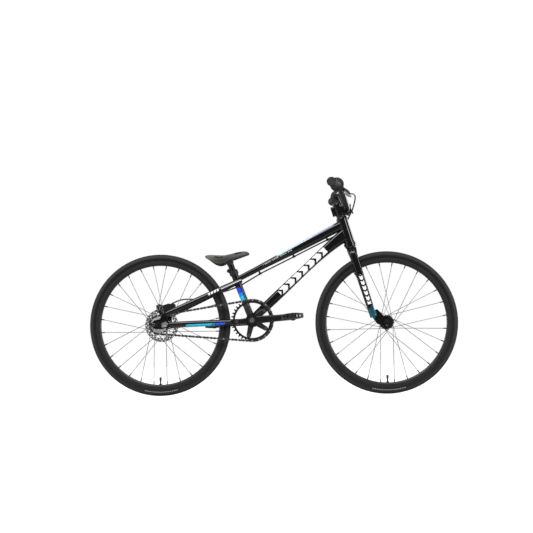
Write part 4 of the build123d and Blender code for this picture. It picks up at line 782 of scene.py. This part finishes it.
# its section by angle from the crown (degrees): tread, edge groove, step and sidewall
TREAD_EDGE = 46
GROOVE_EDGE = 54
STEP_EDGE = 58
# lanes and slanted sipes in the tread: pitch and width (degrees)
LANE_PITCH = 11.5
LANE_WIDTH = 2.2
LANE_SHIFT = 3
SIPE_PITCH = 3.0
SIPE_WIDTH = 0.62
SIPE_SLANT = 0.35
SMOOTH_CENTRE = 9
# how far each lies under the outline (m)
LANE_DEPTH = 0.0010
GROOVE_DEPTH = 0.0012
STEP_DEPTH = 0.0004
SIDEWALL_DEPTH = 0.0003
RIDGE_HEIGHT = 0.00022
RIDGE_RATE = 1.6  # radians of ripple per degree round the section
TYRE_BLACKS = ((0.0045, 0.0042, 0.0042, 1), (0.008, 0.0075, 0.0075, 1))
# the worn shoulder, by distance under the tread (m)
WORN_DEPTHS = (0.012, 0.001)
WORN_SOFT = 0.003
WORN_SHARE = 0.9
WORN_BLACK = (0.034, 0.0325, 0.0325, 1)
# the row of dashes at the wheel's foot, by distance under the tread (m) and by angle (radians)
DASH_DEPTHS = (0.0152, 0.0128)
DASH_TURNS = (-1.80, -1.30)
DASH_END_SOFT = 0.002
DASH_PITCH = 0.034
DASH_SHARE = 0.62
DASH_SOFT = 0.001
DASH_STRENGTH = 0.75
DASH_GREY = (0.45, 0.45, 0.45, 1)


def tyre_material(name, axle):
    """Charcoal rubber, paler on its worn shoulders, with a row of faint dashes on the sidewall."""
    shade = Shade(name)
    r = shade.radius(axle)
    worn = shade.band(r, *[TYRE_RADIUS - depth for depth in WORN_DEPTHS], WORN_SOFT)
    blotch = shade.noise(scale=25, detail=6)
    color = shade.mix(blotch, *TYRE_BLACKS)
    color = shade.mix(shade.math("MULTIPLY", worn, WORN_SHARE), color, WORN_BLACK)
    turn = shade.angle(axle)
    marks = shade.both(
        shade.band(turn, *DASH_TURNS, DASH_END_SOFT),
        shade.band(r, *[TYRE_RADIUS - depth for depth in DASH_DEPTHS]),
        shade.repeat(turn, DASH_PITCH, DASH_SHARE, DASH_SOFT),
    )
    color = shade.mix(shade.math("MULTIPLY", marks, DASH_STRENGTH), color, DASH_GREY)
    shade.surface(color, rough=shade.span(blotch, 0.58, 0.76), sheen=0.03, gloss=0.22)
    shade.bump(shade.cells(scale=1100), distance=0.00006, strength=0.8)
    return shade.material


def tyre_depth(angle, turn):
    """How far the rubber lies under the tyre's outline at an angle round its section."""
    across = abs(degrees(angle))
    if across < TREAD_EDGE:
        lane = (across + LANE_SHIFT) % LANE_PITCH < LANE_WIDTH
        along = degrees(turn) + SIPE_SLANT * degrees(angle)
        sipe = along % SIPE_PITCH < SIPE_WIDTH and across > SMOOTH_CENTRE
        return LANE_DEPTH if lane or sipe else 0.0
    if across < GROOVE_EDGE:
        return GROOVE_DEPTH
    if across < STEP_EDGE:
        return STEP_DEPTH
    ridge = RIDGE_HEIGHT * (0.5 + 0.5 * cos(across * RIDGE_RATE))
    return SIDEWALL_DEPTH + ridge


def make_tyre(end, axle):
    """A treaded skin in the shape of the CAD tyre's outline."""
    crown = TYRE_RADIUS - TYRE_HALF_WIDTH
    rows = []
    for k in range(TYRE_STEPS):
        turn = tau * k / TYRE_STEPS
        outward = Vector((cos(turn), 0, sin(turn)))
        row = []
        for i in range(TYRE_POINTS + 1):
            angle = -TYRE_SWEEP + 2 * TYRE_SWEEP * i / TYRE_POINTS
            radius = TYRE_HALF_WIDTH - tyre_depth(angle, turn)
            sideways = Vector((0, radius * sin(angle), 0))
            row.append(axle + outward * (crown + radius * cos(angle)) + sideways)
        rows.append(row)
    mesh = grid_mesh(f"{end}_tyre_skin", rows, close_rows=True)
    rubber_skin = tyre_material(f"{end}_tyre_rubber", axle)
    piece = new_piece(f"{end}_tyre_skin", mesh, f"{end}_wheel", rubber_skin)
    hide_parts(f"{end}_tyre")


# ---------------------------------------------------------------- saddle
# stations from tail to nose: X, crown height, edge height, half width (mm)
SADDLE_STATIONS = [
    (-241, 498.5, 496.0, 24),
    (-236, 502.5, 493.5, 40),
    (-222, 503.5, 482.0, 51),
    (-205, 502.5, 470.0, 55),
    (-188, 501.5, 465.5, 54),
    (-174, 501.0, 467.5, 47),
    (-163, 502.8, 476.5, 37),
    (-150, 505.5, 482.5, 28),
    (-130, 510.5, 488.0, 21.5),
    (-112, 514.2, 495.0, 18.5),
    (-98, 515.2, 499.5, 16.5),
    (-88, 512.5, 502.0, 12.5),
    (-81, 508.0, 504.0, 6),
]
SADDLE_HALF_POINTS = 14
# how the crown rounds off into the flanks
CROWN_POWER = 2.3
FLANK_POWER = 0.62
# the shell's thickness at the rim, what is added towards the middle (mm), and the power that it
# grows by; it is thick between two stations
THICK_SHELL = (4, 7, 0.8)
THIN_SHELL = (3, 3, 1)
THICK_FROM = -215
THICK_TO = -95
# the underside is a little narrower, and at the rim it ends just under the edge
UNDERSIDE_SHARE = 0.93
RIM_SHARE = 0.98
RIM_LIP = 0.5
# painted light: the upper flank is paler above a line that rises to the nose (mm of height at X =
# 0)
PAINTED_LIGHT_RISE = 0.17
PAINTED_LIGHT_LEVEL = 522.0
PAINTED_LIGHT_SOFT = 0.009
# the saddle's own dark tones, then lighter copies of them for the painted light on the upper flank
SADDLE_DARKS = ((0.022, 0.021, 0.020, 1), (0.032, 0.031, 0.029, 1))
SADDLE_PAINTED_LIGHT_TONES = ((0.105, 0.102, 0.094, 1), (0.140, 0.136, 0.126, 1))
# slots in the flanks, black as painted shade: X from and to, Z from and to, slope (mm)
SADDLE_SLOTS = [
    (-205, -189, 491.5, 497.0, -0.25),
    (-186, -176, 490.0, 495.0, 0.0),
    (-134, -111, 502.0, 507.0, 0.22),
]
SLOT_END_SOFT = 0.0010
SLOT_EDGE_SOFT = 0.0006
SLOT_SINK = -9.0  # how deep a slot is, in heights of the pebbled grain


def saddle_slots(shade, x, z):
    """1 inside any of the slots, which are painted black as painted shade."""
    slots = 0.0
    for x_low, x_high, z_low, z_high, slope in SADDLE_SLOTS:
        level = shade.slant(z, x, -slope)
        shift = -slope * x_low
        mask = shade.both(
            shade.band(x, x_low * MM, x_high * MM, SLOT_END_SOFT),
            shade.band(level, (z_low + shift) * MM, (z_high + shift) * MM, SLOT_EDGE_SOFT),
        )
        slots = shade.math("MAXIMUM", slots, mask)
    return slots


def saddle_material():
    """Moulded plastic with a pebbled grain, painted paler above as painted light from above, with
    a few slots painted black as painted shade.
    """
    shade = Shade("saddle_plastic")
    x = shade.along(ORIGIN, X)
    z = shade.along(ORIGIN, Z)
    slots = saddle_slots(shade, x, z)
    # painted light: 1 on the upper flank, above the line that rises to the nose
    upper = shade.step(shade.slant(z, x, -PAINTED_LIGHT_RISE), PAINTED_LIGHT_LEVEL * MM, PAINTED_LIGHT_SOFT)
    grain = shade.noise(scale=60, detail=4)
    dark = shade.mix(grain, *SADDLE_DARKS)
    # the lighter tones of the painted light on the upper flank
    pale = shade.mix(grain, *SADDLE_PAINTED_LIGHT_TONES)
    matt = shade.span(shade.noise(scale=90, detail=3), 0.50, 0.62)
    shade.surface(
        # painted shade: black in the slots, over the painted light of the upper flank
        shade.mix(slots, shade.mix(upper, dark, pale), BLACK),
        rough=shade.math("MAXIMUM", matt, slots),
        gloss=0.3,
    )
    relief = shade.slant(shade.cells(scale=650), slots, SLOT_SINK)
    shade.bump(relief, distance=0.00012, strength=0.5)
    return shade.material


def saddle_thickness(x, inward):
    """Thickness in mm at a station and a share of the way in from the rim."""
    rim, added, power = THICK_SHELL if THICK_FROM < x < THICK_TO else THIN_SHELL
    return rim + added * inward ** power


def make_saddle():
    """A shell through the stations, with a thin underside."""
    rows = []
    for x, top, edge, half in SADDLE_STATIONS:
        upper = []
        lower = []
        for i in range(-SADDLE_HALF_POINTS, SADDLE_HALF_POINTS + 1):
            u = i / SADDLE_HALF_POINTS
            sideways = sin(u * pi / 2)
            y = half * sideways
            drop = (top - edge) * (1 - (1 - abs(sideways) ** CROWN_POWER) ** FLANK_POWER)
            z = top - drop
            under = z - saddle_thickness(x, 1 - abs(u))
            if abs(u) > RIM_SHARE:
                under = max(under, edge - RIM_LIP)
            upper.append(Vector((x, y, z)) * MM)
            lower.append(Vector((x, y * UNDERSIDE_SHARE, under)) * MM)
        rows.append(upper + list(reversed(lower)))
    mesh = grid_mesh("saddle_shell", rows, close_columns=True, cap=True)
    piece = new_piece("saddle_shell", mesh, "seat", saddle_material())
    smooth = piece.modifiers.new("smooth", "SUBSURF")
    smooth.levels = 2
    smooth.render_levels = 2
    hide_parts("saddle")


# ---------------------------------------------------------------- grips
# the sleeve as (distance from the flange, radius) in metres: flange, ribs up to the tip, and end
GRIP_FLANGE = [
    (-0.0022, 0.0118),
    (-0.0022, 0.0235),
    (-0.001, 0.0245),
    (0.0012, 0.0245),
    (0.0024, 0.0232),
    (0.0034, 0.0180),
    (0.006, 0.0160),
]
GRIP_RIB = [(0, 0.0152), (0.0008, 0.0160), (0.0042, 0.0160), (0.005, 0.0152)]
GRIP_END = [(0.0005, 0.0156), (0.0012, 0.0156)]
RIBS_FROM = 0.010
RIB_PITCH = 0.0075
GRIP_SEGMENTS = 64
GRIP_BLACKS = ((0.014, 0.0135, 0.014, 1), (0.022, 0.021, 0.022, 1))
# lengths of the CAD grip's two ends that its flange and its tip are found in (m)
FLANGE_ZONE = 0.012
TIP_ZONE = 0.006


def grip_material():
    """Soft black rubber."""
    shade = Shade("grip_rubber")
    shade.surface(
        shade.mix(shade.noise(scale=70, detail=5), *GRIP_BLACKS),
        rough=shade.span(shade.noise(scale=120, detail=3), 0.5, 0.66),
        gloss=0.3,
    )
    shade.bump(shade.cells(scale=1400), distance=0.00002, strength=0.4)
    return shade.material


def grip_profile(length):
    """The sleeve's outline for a grip of a given length: flange, as many ribs as fit, and end."""
    profile = list(GRIP_FLANGE)
    along = RIBS_FROM
    while along < length - TIP_ZONE:
        profile += [(along + step, radius) for step, radius in GRIP_RIB]
        along += RIB_PITCH
    return profile + [(length + step, radius) for step, radius in GRIP_END]


def make_grips():
    """A ribbed sleeve with a flange on each end of the bar."""
    material = grip_material()
    for name, side in SIDE.items():
        members = [v.co for v in NODES["grips"].data.vertices if v.co.y * side > 0]
        inner_y = min(abs(v.y) for v in members)
        outer_y = max(abs(v.y) for v in members)
        flange = middle_of([v for v in members if abs(v.y) < inner_y + FLANGE_ZONE])
        tip = middle_of([v for v in members if abs(v.y) > outer_y - TIP_ZONE])
        axis = (tip - flange).normalized()
        rows = turned_rows(flange, axis, grip_profile((tip - flange).length), GRIP_SEGMENTS)
        mesh = grid_mesh(f"grip_{name}_sleeve", rows, close_rows=True)
        piece = new_piece(f"grip_{name}_sleeve", mesh, "steering", material)
        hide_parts("grips")


# ---------------------------------------------------------------- weld beads
BEAD_RADIUS = 0.0017
BEAD_PITCH = 0.0034
BEAD_RIPPLE = 0.14  # share of the radius that comes and goes
RIPPLE_STEPS = 4
BEAD_POINTS = 10
CONTACT_GAP = 0.0006
FEWEST_POINTS = 12
LOOP_BINS = 96
WELDS = [
    ("weld_top_tube_head", "top_tube", "head_tube", TOP_TUBE.along),
    ("weld_down_tube_head", "down_tube", "head_tube", DOWN_TUBE.along),
    ("weld_top_tube_seat", "top_tube", "seat_tube", TOP_TUBE.along),
    ("weld_down_tube_shell", "down_tube", "bottom_bracket_shell", DOWN_TUBE.along),
    ("weld_seat_tube_shell", "seat_tube", "bottom_bracket_shell", SEAT_ALONG),
]


def contact_points(tube, other):
    """The points of a tube's mesh that lie on another node's surface."""
    mesh = NODES[other].data
    surface = BVHTree.FromPolygons(
        [v.co for v in mesh.vertices], [p.vertices for p in mesh.polygons]
    )
    touching = []
    for vertex in NODES[tube].data.vertices:
        if surface.find_nearest(vertex.co, CONTACT_GAP)[0] is not None:
            touching.append(vertex.co.copy())
    return touching


def ordered_loop(points, axis):
    """Points round an axis, averaged into even steps of angle; an empty step is bridged."""
    middle = middle_of(points)
    side = Vector(Y)
    other = axis.cross(side).normalized()
    bins = [[] for _ in range(LOOP_BINS)]
    for point in points:
        offset = point - middle
        turn = atan2(offset.dot(other), offset.dot(side)) % tau
        bins[int(turn / tau * LOOP_BINS) % LOOP_BINS].append(point)
    filled = [k for k in range(LOOP_BINS) if bins[k]]
    loop = []
    for k in range(LOOP_BINS):
        if bins[k]:
            loop.append(middle_of(bins[k]))
            continue
        before = max((f for f in filled if f < k), default=filled[-1] - LOOP_BINS)
        after = min((f for f in filled if f > k), default=filled[0] + LOOP_BINS)
        low = middle_of(bins[before % LOOP_BINS])
        high = middle_of(bins[after % LOOP_BINS])
        loop.append(low.lerp(high, (k - before) / (after - before)))
    return loop


def even_loop(loop, step):
    """The same closed line with points an even step apart."""
    ends = loop + [loop[0]]
    lengths = [(b - a).length for a, b in zip(ends, ends[1:])]
    total = sum(lengths)
    count = max(FEWEST_POINTS, round(total / step))
    spaced = []
    for k in range(count):
        reach = total * k / count
        i = 0
        while reach > lengths[i] and i < len(lengths) - 1:
            reach -= lengths[i]
            i += 1
        spaced.append(ends[i].lerp(ends[i + 1], reach / max(lengths[i], 1e-9)))
    return spaced


def make_weld(name, tube, other, axis, material):
    """A rippled bead along the line where a tube meets another."""
    points = contact_points(tube, other)
    if len(points) < FEWEST_POINTS:
        return
    line = even_loop(ordered_loop(points, axis.normalized()), BEAD_PITCH / RIPPLE_STEPS)
    rows = []
    for k, point in enumerate(line):
        heading = (line[(k + 1) % len(line)] - line[k - 1]).normalized()
        side = heading.orthogonal().normalized()
        other_side = heading.cross(side)
        radius = BEAD_RADIUS * (1 - BEAD_RIPPLE + BEAD_RIPPLE * cos(tau * k / RIPPLE_STEPS))
        turns = [tau * j / BEAD_POINTS for j in range(BEAD_POINTS)]
        rows.append([point + (side * cos(a) + other_side * sin(a)) * radius for a in turns])
    mesh = grid_mesh(name, rows, close_rows=True, close_columns=True)
    new_piece(name, mesh, "frame", material)


def make_welds():
    material = lacquer("weld_paint")
    for name, tube, other, axis in WELDS:
        make_weld(name, tube, other, axis, material)


# ---------------------------------------------------------------- hose loop
HOSE_LONGEST_EDGE = 0.006
HOSE_CUTS = 3


def make_hose_loop():
    """The loop of brake hose from the frame to the lever, as a copy of the CAD loop cut into short
    edges.
    """
    mesh = NODES["brake_hose_loop"].data.copy()
    bm = bmesh.new()
    bm.from_mesh(mesh)
    # cut into short edges
    for _ in range(HOSE_CUTS):
        long_edges = [e for e in bm.edges if e.calc_length() > HOSE_LONGEST_EDGE]
        bmesh.ops.subdivide_edges(bm, edges=long_edges, cuts=1)
    bmesh.ops.triangulate(bm, faces=bm.faces)
    bm.to_mesh(mesh)
    bm.free()
    piece = bpy.data.objects.new("brake_hose_loop_skin", mesh)
    bpy.context.scene.collection.objects.link(piece)
    # it starts near the high front corner of the frame's hose and ends furthest to the right
    frame_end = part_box("brake_hose")[1]
    points = [v.co for v in mesh.vertices]
    start = min(points, key=lambda p: (p - frame_end).length).copy()
    finish = min(points, key=lambda p: p.y).copy()
    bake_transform(piece)
    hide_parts("brake_hose_loop")


# ---------------------------------------------------------------- the bicycle
make_camera()
make_studio()
paint_frame()
paint_metal()
paint_soft()
make_tyre("front", FRONT_AXLE)
make_tyre("rear", REAR_AXLE)
make_saddle()
make_grips()
make_welds()
make_hose_loop()
